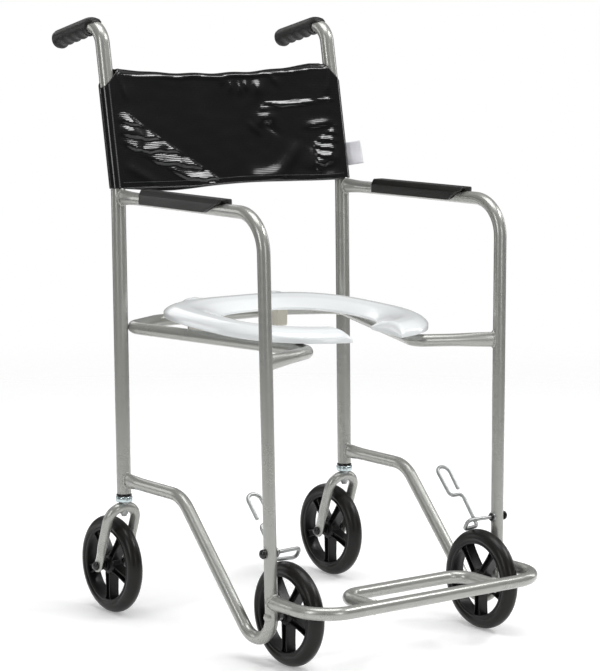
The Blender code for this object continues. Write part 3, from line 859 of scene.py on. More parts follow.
def grip_radius(d, length, angle):
    """Finger waves beneath, a raised ribbed strip on top, a fuller and rounded rear end."""
    down = -math.sin(angle)
    under = max(0.0, down)
    top = max(0.0, -down)
    radius = 0.0137
    if 0.010 < d < length - 0.006:
        wave = 0.5 + 0.5 * math.cos(2 * math.pi * (d - 0.012) / 0.0205)
        radius += under ** 1.3 * (0.0030 * wave ** 1.4 - 0.0017)
    radius += under * 0.0014 * ease((d - length + 0.026) / 0.014)
    strip = ease((top - 0.70) / 0.12)
    edge = math.exp(-((top - 0.80) / 0.06) ** 2)
    rib = 0.5 + 0.5 * math.cos(2 * math.pi * d / 0.0026)
    if 0.004 < d < length - 0.010:
        radius += strip * (0.0004 + 0.0004 * rib) + edge * 0.0005
    radius -= 0.0004 * strip
    radius -= 0.0011 * ease(1.0 - d / 0.0025)
    near = length - d
    if near < 0.0075:
        radius *= math.sqrt(max(0.08, 1.0 - (1.0 - near / 0.0075) ** 2))
    return radius


def make_grip(word, side):
    """Moulded grip, its top running forward as a tongue over the tube's bend."""
    path = handle_path(side, GRIP_END)
    reach, place = walk(path)
    start = next(r for r, p in zip(reach, path) if p.y > REAR_Y + GRIP_START)
    length = reach[-1] - start
    rings = []
    count = 150
    for i in range(count + 1):
        share = i / count
        d = length * (share + 0.25 * (share - share ** 2) * (2 * share - 1.0))
        ring = []
        for angle in circle(48):
            top = max(0.0, math.sin(angle))
            forward = 0.0090 * ease((top - 0.25) / 0.6) * ease(1.0 - d / 0.030)
            middle, way = place(start + d - forward)
            above = ACROSS.cross(way)
            if above.z < 0:
                above = -above
            step = ACROSS * math.cos(angle) + above * math.sin(angle)
            ring.append(middle + step * grip_radius(d, length, angle))
        rings.append(ring)
    grip = skin("handle_grip_" + word, rings, "grip_rubber", sharp=70)
    put(grip, "frame", "grip_rubber", "push_grip_" + word)


# ---- vinyl back --------------------------------------------------------------
def sling_columns():
    """Positions across the sling, closer together around the two posts."""
    right = []
    for k in range(13):
        angle = math.pi / 2 * k / 12
        right.append(HALF_WIDTH + SLING_WRAP * math.sin(angle))
    inner = [HALF_WIDTH * (k / 92) for k in range(-91, 92)]
    return [-x for x in right[::-1]] + inner + right


def sling_top(x):
    cut = 0.031
    edge = HALF_WIDTH + SLING_WRAP - cut
    if abs(x) > edge:
        return SLING_TOP_Z - (abs(x) - edge)
    along = x / edge
    sag = 0.0125 * (1.0 - abs(along + 0.12) ** 2.2)
    return SLING_TOP_Z - max(0.0, sag) + 0.0009 * math.sin(along * 17.0) * (1.0 - along ** 2)


def sling_low(x):
    return SLING_LOW_Z + 0.0012 * math.sin(x * 25.0 + 0.6)


def fold(x, v, a, b, width, height, sharp=0.5, fade=0.25):
    """A crease from a to b in millimetres: steep on one side, long on the other."""
    ax, av = a
    dx = b[0] - ax
    dv = b[1] - av
    length = math.hypot(dx, dv)
    along = ((x - ax) * dx + (v - av) * dv) / length ** 2
    off = ((x - ax) * -dv + (v - av) * dx) / length
    ends = ease((along + fade) / (2 * fade)) * ease((1.0 + fade - along) / (2 * fade))
    reach = width if off > 0 else width * sharp
    rate = off / reach
    return height * ends * math.exp(-rate * rate)


FOLDS = (
    # start (x, v), end (x, v), half-width above, height, width below as a share; millimetres
    ((-208, 92), (-172, 82), 7.0, 1.6, 0.80),
    ((-206, 34), (-150, 6), 8.0, 1.8, 0.80),
    ((-204, 176), (-193, 138), 5.0, 1.6, 0.80),
    ((80, 178), (104, 152), 6.0, 1.3, 0.90),
    ((56, 92), (88, 104), 12.0, 3.6, 0.70),
    ((40, 92), (62, 74), 6.0, 1.5, 1.00),
    ((60, 98), (96, 74), 5.0, -1.5, 0.90),
    ((150, 84), (198, 90), 7.0, 1.9, 0.60),
    ((36, 6), (94, 8), 14.0, 3.4, 0.60),
    ((92, 10), (128, 52), 12.0, 2.4, 0.80),
    ((146, 22), (204, 38), 17.0, 4.0, 0.60),
    ((130, 2), (206, 4), 10.0, 2.6, 0.60),
    ((206, 168), (196, 140), 5.0, 1.6, 0.80),
    ((196, 60), (214, 92), 6.0, 1.4, 0.80),
)
FACETS = (
    # start (x, v), end (x, v) of the upper crease, band width, slope, pitch; millimetres
    ((-216, 128), (-20, 4), 58.0, 0.240, 19.0),
    ((66, 124), (208, 130), 16.0, 0.190, 16.0),
    ((160, 60), (212, 92), 60.0, 0.185, 13.0),
)
PUCKERS = (
    # centre (x, v), half-width, half-height, rise; millimetres
    ((-4, 160), 6.0, 8.0, 1.5),
    ((12, 150), 5.0, 9.0, 1.9),
    ((29, 146), 4.5, 9.0, 2.0),
    ((42, 150), 5.0, 8.0, 1.9),
    ((64, 146), 10.0, 12.0, 2.9),
    ((-186, 96), 9.0, 12.0, 1.6),
    ((-170, 62), 7.0, 6.0, -1.3),
    ((-128, 56), 9.0, 5.0, -1.1),
    ((-100, 34), 11.0, 5.0, 1.0),
    ((-68, 20), 12.0, 5.0, -1.0),
)


def facet(x, v, start, end, width, slope, pitch):
    """Level tucks below a crease: each leans outwards as it falls, then steps back."""
    share = (x - start[0]) / (end[0] - start[0])
    below = start[1] + (end[1] - start[1]) * share - v
    wide = width * (1.0 - 0.45 * min(1.0, max(0.0, share)))
    inside = ease(below / 3.5) * ease((wide - below) / 7.0)
    inside *= ease((share + 0.04) / 0.06) * ease((1.06 - share) / 0.16)
    if inside <= 0.0:
        return 0.0
    wander = 1.6 * math.sin(x * 0.071 + 0.4) + 0.9 * math.sin(x * 0.19) + 0.10 * x
    turn = ((v + wander) / pitch) % 1.0
    step = min((1.0 - turn) / 0.80, turn / 0.20)
    return slope * pitch * 0.8 * step * inside


def front_wrinkles(x, v):
    """How far the front layer stands out, in millimetres, at (x, v) in millimetres."""
    height = -4.5 * (1.0 - min(1.0, (x / 205.0) ** 2))
    for start, end, width, rise, below in FOLDS:
        height += fold(x, v, start, end, width, rise, below, 0.30)
    for start, end, width, slope, pitch in FACETS:
        height += facet(x, v, start, end, width, slope, pitch)
    for (middle_x, middle_v), wide, tall, rise in PUCKERS:
        height += rise * math.exp(-((x - middle_x) / wide) ** 2 - ((v - middle_v) / tall) ** 2)
    height += 0.9 * noise.noise(Vector((x * 0.014, v * 0.018, 2.7)))
    height += 0.28 * noise.noise(Vector((x * 0.040 + v * 0.010, v * 0.060, 9.1)))
    return height


def back_wrinkles(x, v):
    height = -3.0 * (1.0 - min(1.0, (x / 205.0) ** 2)) * ease(v / 60.0)
    height += fold(x, v, (-205, 40), (60, 120), 16.0, 2.2, 1.4)
    height += fold(x, v, (205, 60), (-20, 150), 14.0, 1.8, 1.3)
    height += 1.4 * noise.noise(Vector((x * 0.014, v * 0.02, 31.0)))
    height += 0.4 * noise.noise(Vector((x * 0.04, v * 0.05, 44.0)))
    return height


def sling_point(x, share, face):
    """A point of the bag's front (face -1) or back (face 1) layer."""
    top = sling_top(x)
    low = sling_low(x)
    if face > 0:
        low -= 0.0016 * (1.0 - (x / SLING_HALF) ** 2)
        low -= 0.0046 * math.exp(-((x + 0.130) / 0.070) ** 2)
    z = low + (top - low) * share
    inside = HALF_WIDTH - abs(x)
    if inside < 0:
        half = math.sqrt(max(0.0, SLING_WRAP ** 2 - inside ** 2))
    else:
        half = SLING_WRAP - 0.0060 * ease(inside / 0.11)
    closing = ease((HALF_WIDTH - 0.012 - abs(x)) / 0.018)
    depth = max(0.0, top - z)
    pinch = math.sqrt(min(1.0, depth / 0.007))
    half *= 1.0 - closing * (1.0 - pinch)
    calm = ease(inside / 0.026) * ease(depth / 0.010)
    v = (z - SLING_LOW_Z) * 1000.0
    bumps = front_wrinkles(x * 1000.0, v) if face < 0 else back_wrinkles(x * 1000.0, v)
    half += calm * bumps * 0.001
    if inside > 0.02:
        half = max(half, 0.0006 if closing > 0.5 else half)
    return at(x, back_y(z) + face * half, z)


def make_sling():
    columns = sling_columns()
    rows = 84
    shape = bmesh.new()
    for face in (-1, 1):
        grid = []
        for r in range(rows + 1):
            grid.append([shape.verts.new(sling_point(x, r / rows, face)) for x in columns])
        for low, high in zip(grid, grid[1:]):
            bridge(shape, low, high, flip=face > 0)
    bmesh.ops.remove_doubles(shape, verts=shape.verts, dist=0.00004)
    sling = new_piece("vinyl_back", shape, "black_vinyl")
    thick = sling.modifiers.new("thickness", "SOLIDIFY")
    thick.thickness = 0.0010
    thick.offset = -1.0
    return put(sling, "frame", "black_vinyl", "backrest_sling")


def make_hem_rolls():
    """The turned hem along each layer's lower edge, and the bound top seam."""
    rolls = []
    for face, label in ((-1, "front"), (1, "back")):
        path = []
        for k in range(121):
            x = (k / 60 - 1.0) * 0.2145
            point = sling_point(x, 0.0, face)
            path.append(point + Vector((0.0, -face * 0.0004, 0.0002)))
        roll = sweep("hem_" + label, path, plain(0.0011, 0.001), UP, "black_vinyl", 10)
        rolls.append(put(roll, "frame", "black_vinyl"))
    path = []
    for k in range(121):
        x = (k / 60 - 1.0) * 0.1975
        path.append((sling_point(x, 1.0, -1) + sling_point(x, 1.0, 1)) / 2)
    seam = sweep("top_seam", path, plain(0.0010, 0.001), UP, "black_binding", 10)
    rolls.append(put(seam, "frame", "black_vinyl"))
    return rolls


def stitch_row(name, spots, normals, length, thick):
    """A row of short raised stitches joined into one piece."""
    shape = bmesh.new()
    for index in range(0, len(spots) - 1, 2):
        a = spots[index]
        b = spots[index + 1]
        out = normals[index]
        along = (b - a).normalized()
        wide = along.cross(out).normalized()
        middle = (a + b) / 2
        rings = []
        for share in (-1.0, -0.8, -0.3, 0.3, 0.8, 1.0):
            swell = math.sqrt(max(0.05, 1.0 - share * share))
            centre = middle + along * share * length / 2 + out * thick * 0.25 * swell
            ring = []
            for angle in circle(6):
                step = wide * math.cos(angle) + out * math.sin(angle)
                ring.append(shape.verts.new(centre + step * thick * swell))
            rings.append(ring)
        for low, high in zip(rings, rings[1:]):
            bridge(shape, low, high, loop=True)
        shape.faces.new(rings[0][::-1])
        shape.faces.new(rings[-1])
    bmesh.ops.recalc_face_normals(shape, faces=shape.faces)
    return new_piece(name, shape, "thread")


def make_hem_stitches():
    rows = []
    for face, label in ((-1, "front"), (1, "back")):
        spots = []
        count = 220
        for k in range(count):
            x = (k / (count - 1) * 2 - 1.0) * 0.2120
            share = 0.0085 / (sling_top(x) - sling_low(x))
            spots.append(sling_point(x, share, face) + Vector((0.0, face * 0.0001, 0.0)))
        normals = [Vector((0.0, face, -face * BACK_LEAN)).normalized()] * count
        row = stitch_row("hem_stitches_" + label, spots, normals, 0.0019, 0.00028)
        rows.append(put(row, "frame", "black_vinyl"))
    return rows


def make_tag():
    """The blank cloth label, folded over and caught in the side seam of the back."""
    start = Vector((0.2298, 0.0190 + REAR_Y, 0.700))
    way = Vector((math.cos(math.radians(-42)), math.sin(math.radians(-42)), 0.0))
    out = Vector((way.y, -way.x, 0.0))
    lean = math.radians(10.0)
    along = way * math.cos(lean) + UP * math.sin(lean)
    rise = UP * math.cos(lean) - way * math.sin(lean)
    shape = bmesh.new()
    columns = 26
    rows = 16
    for side in (-1, 1):
        grid = []
        for r in range(rows + 1):
            line = []
            for c in range(columns + 1):
                s = c / columns
                t = r / rows
                curl = 0.0016 * math.sin(s * 2.6 + t * 0.8) + 0.0006 * math.sin(t * 6.0 + s * 2.0)
                gap = 0.0007 * math.sqrt(max(0.0, 1.0 - s ** 6))
                centre = start + along * 0.0265 * s + rise * 0.0375 * (t - 0.5)
                line.append(shape.verts.new(centre + out * (curl + side * gap)))
            grid.append(line)
        for low, high in zip(grid, grid[1:]):
            bridge(shape, low, high, flip=side < 0)
    bmesh.ops.remove_doubles(shape, verts=shape.verts, dist=0.00002)
    tag = new_piece("blank_label", shape, "white_cloth")
    thick = tag.modifiers.new("thickness", "SOLIDIFY")
    thick.thickness = 0.0003
    return put(tag, "frame", "white_cloth", "backrest_tag")


# ---- wheels ------------------------------------------------------------------
def tyre_profile():
    half = TYRE_W / 2
    bead = 0.0590
    points = []
    for k in range(29):
        angle = math.radians(-92 + 184 * k / 28)
        points.append((WHEEL_R - half * (1.0 - math.cos(angle)), half * math.sin(angle)))
    lip = ((0.0034, 0.985), (0.0026, 0.930), (0.0010, 0.905), (0.0, 0.86))
    points += [(bead + rise, half * share) for rise, share in lip]
    points += [(bead + rise, -half * share) for rise, share in lip[::-1]]
    return points


def mirrored(half):
    """A profile from its lower half, which is given from its end to its middle."""
    return half + [(radius, -height) for radius, height in half[::-1] if height != 0.0]


def rim_band_profile():
    side = [(0.0605, 0.0110), (0.0572, 0.0118), (0.0550, 0.0108), (0.0548, 0.0045)]
    return [(0.0605, -0.0110)] + side + [(0.0540, 0.0)] + [(r, -h) for r, h in side[:0:-1]]


def hub_profile(half):
    return mirrored([
        (0.0041, -half), (0.0078, -half), (0.0092, -half + 0.0008), (0.0098, -half + 0.0050),
        (0.0138, -half + 0.0062), (0.0158, -half + 0.0082), (0.0160, 0.0),
    ])


def spoke_rings(where, angle):
    """An H-shaped spoke: two thin walls and a sunken web, tapering from hub to rim."""
    out = Vector((0.0, math.cos(angle), math.sin(angle)))
    along = Vector((0.0, -math.sin(angle), math.cos(angle)))
    rings = []
    for share in (0.0, 0.12, 0.35, 0.65, 0.88, 1.0):
        radius = 0.0125 + 0.0440 * share
        wide = 0.0062 - 0.0007 * math.sin(math.pi * share) + 0.0012 * ease((share - 0.8) / 0.2)
        deep = 0.0088 - 0.0006 * share
        wall = 0.0017
        web = 0.0022 + 0.0040 * (ease(1.0 - share / 0.16) + ease((share - 0.86) / 0.14))
        corner = [(wide, deep), (wide - wall, deep), (wide - wall - 0.0006, web)]
        section = [(-a, -d) for a, d in corner]
        section += [(a, -d) for a, d in corner[::-1]]
        section += corner
        section += [(-a, d) for a, d in corner[::-1]]
        rings.append([where + out * radius + along * a + ACROSS * d for a, d in section])
    return rings


def join_meshes(name, parts, stuff):
    """One mesh object from several closed ones that belong to a single moulding."""
    shape = bmesh.new()
    for part in parts:
        shape.from_mesh(part.data)
    for part in parts:
        bpy.data.objects.remove(part, do_unlink=True)
    return new_piece(name, shape, stuff, 38)


def make_wheel(name, where, body, tyre_node, rim_node):
    tyre = lathe(name + "_tyre", tyre_profile(), where, "tyre_rubber", "X", 96)
    put(tyre, body, "tyre_rubber", tyre_node)
    parts = [lathe("band", rim_band_profile(), where, "rim_plastic", "X", 96)]
    parts.append(lathe("hub", hub_profile(0.0145), where, "rim_plastic", "X", 48))
    for spoke in range(5):
        angle = math.radians(72 * spoke - 90)
        parts.append(skin("spoke", spoke_rings(where, angle), "rim_plastic", sharp=30))
    rim = join_meshes(name + "_rim", parts, "rim_plastic")
    edge = rim.modifiers.new("soft_edges", "BEVEL")
    edge.width = 0.00035
    edge.segments = 2
    edge.limit_method = "ANGLE"
    edge.angle_limit = math.radians(40)
    put(rim, body, "rim_plastic", rim_node)


def dome_profile(radius, height):
    points = [(0.00001, height)]
    for k in range(1, 9):
        angle = math.pi / 2 * k / 8
        points.append((radius * math.sin(angle), height * (0.18 + 0.82 * math.cos(angle))))
    return points + [(radius, 0.0006), (radius - 0.0005, 0.0), (0.00001, 0.0)]


def make_front_wheel(word, side):
    post = front_post(side, WHEEL_R)
    where = Vector((side * FRONT_WHEEL_X, post.y, WHEEL_R))
    body = "front_wheel_" + word
    make_wheel(body, where, body, "front_tyre_" + word, "front_rim_" + word)
    cap_x = FRONT_WHEEL_X - 0.0150
    cap_at = Vector((side * cap_x, post.y, WHEEL_R))
    cap = lathe("hub_cap_" + word, dome_profile(0.0075, 0.0065), cap_at, "cap_plastic", facing(-side), 32)
    put(cap, "frame", "cap_plastic", "front_axle_cap_" + word)
    plug_at = Vector((side * (abs(post.x) + TUBE_R - 0.0022), post.y, WHEEL_R))
    profile = [
        (0.00001, 0.0044), (0.0032, 0.0043), (0.0046, 0.0038), (0.0052, 0.0030),
        (0.0060, 0.0022), (0.0072, 0.0010), (0.0082, -0.0012), (0.00001, -0.0012),
    ]
    plug = lathe("axle_plug_" + word, profile, plug_at, "silver_paint", facing(side), 36)
    put(plug, "frame", "silver_paint")
    length = abs(post.x) - TUBE_R * 0.9 - cap_x
    pin = [(0.00001, 0.0), (0.0038, 0.0), (0.0038, length), (0.00001, length)]
    rod = lathe("axle_rod_" + word, pin, cap_at, "cap_plastic", facing(side), 28)
    put(rod, "frame", "cap_plastic", "front_axle_" + word)


# ---- casters -----------------------------------------------------------------
def fork_path(side):
    axle = at(side * HALF_WIDTH, CASTER_TRAIL, WHEEL_R)
    swivel = swivel_point(side, 0.0)
    lean = Vector((0.0, swivel.y + 0.0005 - axle.y, 0.1725 - WHEEL_R))
    leg = Vector((0.025, 0.0, 0.0))
    foot = -lean.normalized() * 0.0105
    corners = [axle - leg + foot, axle - leg + lean, axle + leg + lean, axle + leg + foot]
    return rounded(corners, [0.0238] * 2, 18), lean


def make_fork(word, side):
    path, lean = fork_path(side)
    path = refined(path, 0.0015, 0.052)

    def size(d, total, _angle):
        near = min(d, total - d)
        flat = 0.58 * ease((0.046 - near) / 0.026)
        wide = 0.0078 * (1.0 + 0.42 * flat)
        tip = 0.0100
        if near < tip:
            wide *= math.sqrt(max(0.02, 1.0 - (1.0 - near / tip) ** 2))
        return wide, 0.0078 * (1.0 - flat)

    plane = ACROSS.cross(lean).normalized()
    fork = sweep("bent_fork_" + word, path, size, plane, "silver_paint", 30)
    put(fork, "caster_" + word, "silver_paint", "caster_fork_" + word)


def make_caster(word, side):
    axle = at(side * HALF_WIDTH, CASTER_TRAIL, WHEEL_R)
    top = swivel_point(side, 0.0)
    body = "caster_" + word
    make_fork(word, side)
    nub = soft_profile([
        (0.00001, 0.1580), (0.0036, 0.1580), (0.0046, 0.1596), (0.0046, 0.1700), (0.00001, 0.1700),
    ], 0.0005)
    put(lathe("stem_nub_" + word, nub, top, "zinc_plate", "Z", 32), body, "zinc_plate")
    cup_top = POST_FOOT_Z - 0.0032
    cup = [
        (0.0060, 0.0), (0.0116, 0.0), (0.0126, 0.0006), (0.0130, 0.0016), (0.0130, 0.0070),
        (0.0127, 0.0080), (0.0118, 0.0088), (0.0096, 0.0092), (0.0060, 0.0092),
    ]
    cup = [(radius, cup_top - drop) for radius, drop in cup]
    ring = lathe("bearing_cup_" + word, cup, top, "bright_zinc", "Z", 56)
    put(ring, "frame", "zinc_plate", "caster_cup_" + word)
    seal = [
        (0.0060, 0.0002), (0.0110, 0.0002), (0.0119, 0.0008),
        (0.0121, 0.0018), (0.0115, 0.0030), (0.0060, 0.0031),
    ]
    seal = [(radius, cup_top + rise) for radius, rise in seal]
    rubber = lathe("bearing_seal_" + word, seal, top, "cap_plastic", "Z", 56)
    put(rubber, "frame", "cap_plastic", "caster_seal_" + word)
    for near, way in (("outer", side), ("inner", -side)):
        ending = near + "_" + word
        spot = axle + ACROSS * way * 0.0284
        cap = lathe("axle_cap_" + ending, dome_profile(0.0070, 0.0068), spot, "cap_plastic", facing(way), 32)
        put(cap, body, "cap_plastic", "caster_axle_cap_" + ending)
        washer_at = axle + ACROSS * way * 0.0166
        washer = soft_profile(small_ring(0.0041, 0.0, 0.0072, 0.0036), 0.0004)
        spacer = lathe("axle_spacer_" + ending, washer, washer_at, "cap_plastic", facing(way), 32)
        put(spacer, body, "cap_plastic")
    wheel = "caster_wheel_" + word
    make_wheel(wheel, axle, wheel, "caster_tyre_" + word, "caster_rim_" + word)


# ---- brakes ------------------------------------------------------------------
def lever_path(side):
    y = front_post(side, BRAKE_Z).y - REAR_Y
    route = (
        # across, behind the post and above the pivot
        (0.2292, 0.0, 0.0), (0.2010, 0.0, 0.0), (0.1600, 0.0030, 0.0), (0.1600, 0.0125, -0.0158),
        (0.1925, 0.0190, -0.0158), (0.1925, 0.0555, 0.0280), (0.1690, 0.0555, 0.0280),
        (0.1690, 0.0915, 0.0660), (0.1925, 0.0915, 0.0660), (0.1915, 0.0635, 0.0345),
    )
    corners = [at(side * x, y + back, BRAKE_Z + rise) for x, back, rise in route]
    return rounded(corners, [0.0070] * 6 + [0.0112] * 2, 12)


def carried_frames(path):
    """Across directions carried along a path without twisting."""
    along = (path[1] - path[0]).normalized()
    across = along.orthogonal().normalized()
    frames = []
    for i in range(len(path)):
        now = (path[min(i + 1, len(path) - 1)] - path[max(i - 1, 0)]).normalized()
        across = along.rotation_difference(now) @ across
        across = (across - now * across.dot(now)).normalized()
        along = now
        frames.append((across, now.cross(across)))
    return frames


def make_wire(name, path, radius, stuff, sides=16):
    path = refined(path, 0.0006, radius * 1.2)
    rings = []
    reach = travelled(path)
    for point, done, (first, second) in zip(path, reach, carried_frames(path)):
        near = min(done, reach[-1] - done)
        scale = 1.0
        if near < radius * 0.5:
            scale = 0.78 + 0.22 * math.sqrt(max(0.0, 1.0 - (1.0 - near / (radius * 0.5)) ** 2))
        steps = [first * math.cos(angle) + second * math.sin(angle) for angle in circle(sides)]
        rings.append([point + step * radius * scale for step in steps])
    return skin(name, rings, stuff)


def make_brake(word, side):
    post = front_post(side, BRAKE_Z)
    body = "brake_" + word
    wire = make_wire("brake_wire_" + word, lever_path(side), WIRE_R, "zinc_plate")
    put(wire, body, "zinc_plate", "brake_lever_" + word)
    cap_at = post + ACROSS * side * (TUBE_R + 0.0016)
    dome = dome_profile(0.0070, 0.0068)
    cap = lathe("brake_end_cap_" + word, dome, cap_at, "cap_plastic", facing(side), 32)
    put(cap, body, "cap_plastic", "brake_cap_" + word)
    washer = soft_profile(small_ring(0.0043, TUBE_R - 0.0012, 0.0074, TUBE_R + 0.0016), 0.0004)
    plate = lathe("brake_washer_" + word, washer, post, "zinc_plate", facing(-side), 32)
    put(plate, "frame", "zinc_plate")
    collar = soft_profile(small_ring(0.0029, TUBE_R + 0.0014, 0.0058, TUBE_R + 0.0040, 0.0004), 0.0005)
    bush = lathe("brake_collar_" + word, collar, post, "cap_plastic", facing(-side), 32)
    put(bush, "frame", "cap_plastic", "brake_bush_" + word)


# ---- seat --------------------------------------------------------------------
# half-width, reach to the front and to the rear, middle, roundness in front and behind
OUTER_EDGE = (0.177, 0.176, 0.212, -0.182, 2.25, 3.6)
INNER_EDGE = (0.112, 0.112, 0.118, -0.165, 2.2, 2.6)


def oval(angle, half_x, front, rear, middle, front_power, rear_power):
    c = math.cos(angle)
    s = math.sin(angle)
    power = front_power if s < 0 else rear_power
    reach = front if s < 0 else rear
    x = half_x * math.copysign(abs(c) ** (2 / power), c)
    y = middle + reach * math.copysign(abs(s) ** (2 / power), s)
    return Vector((x, y))


def gap_angle(shape, half_gap):
    low = 0.0
    high = math.pi / 2
    for _ in range(40):
        middle = (low + high) / 2
        if oval(-math.pi / 2 + middle, *shape).x < half_gap:
            low = middle
        else:
            high = middle
    return high


def even_edge(shape, count):
    """Evenly spaced points along an outline, from one side of the front gap to the other."""
    edge = gap_angle(shape, SEAT_GAP)
    span = 2 * math.pi - 2 * edge
    fine = [oval(-math.pi / 2 + edge + span * i / 1600, *shape) for i in range(1601)]
    reach = travelled(fine)
    points = []
    j = 0
    for k in range(count + 1):
        goal = reach[-1] * k / count
        while j < len(fine) - 2 and reach[j + 1] < goal:
            j += 1
        share = (goal - reach[j]) / max(reach[j + 1] - reach[j], 1e-9)
        points.append(fine[j].lerp(fine[j + 1], min(1.0, share)))
    return points


def seat_height(share):
    """Height of the seat's top over its underside, from the outer edge (0) to the hole (1)."""
    knots = (
        (0.0, 0.0070), (0.03, 0.0105), (0.08, 0.0138), (0.22, 0.0183), (0.45, 0.0195),
        (0.70, 0.0158), (0.88, 0.0098), (0.96, 0.0062), (1.0, 0.0040),
    )
    for (a, low), (b, high) in zip(knots, knots[1:]):
        if share <= b:
            return low + (high - low) * (share - a) / (b - a)
    return knots[-1][1]


def smooth_height(share):
    near = 0.045
    values = [seat_height(min(1.0, max(0.0, share + near * k / 3))) for k in range(-3, 4)]
    mean = sum(values) / len(values)
    edge = ease(min(share, 1.0 - share) / 0.05)
    return seat_height(share) * (1.0 - edge) + mean * edge


def seat_plane():
    tilt = Matrix.Rotation(math.atan(SEAT_SLOPE), 4, "X")
    return Matrix.Translation(at(0.0, 0.0, SEAT_BOTTOM_Z)) @ tilt


def lug_rise(x, y):
    """The two moulded lugs over the hinge clips, on the seat's rear edge."""
    rise = 0.0
    for side in (-1, 1):
        off = ((x - side * CLIP_X) / 0.0150) ** 2
        rise = max(rise, 0.0040 * math.exp(-off * off) * ease((y - 0.004) / 0.012))
    return rise


def corner_trim(run, radius):
    """How far a rounded corner is drawn in, this far from the tip's end face."""
    if run >= radius:
        return 0.0
    return radius - math.sqrt(radius ** 2 - (radius - run) ** 2)


def seat_runs(count):
    """Distances along the ring, much closer together at its two tips."""
    near = [0.0, 0.0002, 0.0006, 0.0012, 0.0020, 0.0030, 0.0042, 0.0056, 0.0072, 0.0090, 0.0110, 0.0135]
    middle = [near[-1] + (SEAT_RUN - 2 * near[-1]) * k / count for k in range(1, count)]
    far = [SEAT_RUN - value for value in near[::-1]]
    return [value / SEAT_RUN for value in near + middle + far]


def edge_at(points, share):
    place = share * (len(points) - 1)
    low = min(int(place), len(points) - 2)
    return points[low].lerp(points[low + 1], place - low)


def make_seat():
    count = 600
    outer = even_edge(OUTER_EDGE, count)
    inner = even_edge(INNER_EDGE, count)
    shares = [0.0, 0.012, 0.03, 0.055, 0.085] + [0.085 + 0.83 * k / 24 for k in range(1, 25)]
    shares += [0.94, 0.962, 0.98, 0.992, 1.0]
    plane = seat_plane()
    rings = []
    for share_along in seat_runs(200):
        a = edge_at(outer, share_along)
        b = edge_at(inner, share_along)
        run = min(share_along, 1.0 - share_along) * SEAT_RUN
        width = (b - a).length
        edge = a.lerp(b, corner_trim(run, 0.0040) / width)
        hole = b.lerp(a, corner_trim(run, 0.0110) / width)
        edge.x -= math.copysign(0.0065 * ease(1.0 - run / 0.05), edge.x)
        end = math.sqrt(max(0.0, 1.0 - (1.0 - min(1.0, run / 0.011)) ** 2))
        ring = []
        for share in shares:
            spot = edge.lerp(hole, share)
            high = smooth_height(share)
            high = 0.0030 + (high - 0.0030) * (0.05 + 0.95 * end)
            high += lug_rise(spot.x, spot.y)
            ring.append(plane @ Vector((spot.x, spot.y, high)))
        for share in (1.0, 0.985, 0.90, 0.86, 0.14, 0.10, 0.015, 0.0):
            spot = edge.lerp(hole, share)
            hollow = 0.0060 if 0.12 < share < 0.88 and end > 0.98 else 0.0
            lift = 0.0006 if share in (1.0, 0.0) else hollow
            ring.append(plane @ Vector((spot.x, spot.y, lift)))
        rings.append(ring)
    seat = skin("horseshoe_seat", rings, "white_plastic", sharp=55)
    put(seat, "seat", "white_plastic", "seat")


def clip_outline():
    """The clip's side: a leg in front, an arm over the rear bar and a hook behind it."""
    return [
        (-0.0110, 0.0143), (-0.0110, -0.0160), (-0.0085, -0.0188), (0.0010, -0.0196),
        (0.0042, -0.0180), (0.0060, -0.0120), (0.0062, 0.0060), (0.0100, 0.0099),
        (0.0500, 0.0099), (0.0506, -0.0030), (0.0522, -0.0058), (0.0546, -0.0050),
        (0.0560, 0.0060), (0.0545, 0.0135), (0.0500, 0.0153),
    ]


def make_clip(word, side):
    """Moulded hinge clip with softened sides."""
    outline = [Vector((0.0, y, z)) for y, z in clip_outline()]
    count = len(outline)
    rings = []
    softened = [(0.0098, 0.0011), (0.0095, 0.0004), (0.0086, 0.0)]
    for x, inset in [(-x, inset) for x, inset in softened] + softened[::-1]:
        ring = []
        for i, point in enumerate(outline):
            along = (outline[(i + 1) % count] - outline[i - 1]).normalized()
            spot = point + ACROSS.cross(along) * inset
            ring.append(at(side * CLIP_X + x, spot.y, spot.z + SEAT_BAR_Z))
        rings.append(ring)
    clip = skin("hinge_clip_" + word, rings, "beige_plastic", sharp=35)
    put(clip, "seat", "beige_plastic", "seat_clip_" + word)


# ---- nodes carried over ------------------------------------------------------
def dress_nodes():
    """Give each node that still shows its worked-up finish."""
    slots = {row["node"]: row["material_slot"] for row in frame["record"]["subparts"]}
    for name, node in frame["nodes"].items():
        stuff = FINISH[slots[name]]
        for holder in node.material_slots:
            holder.material = stuff


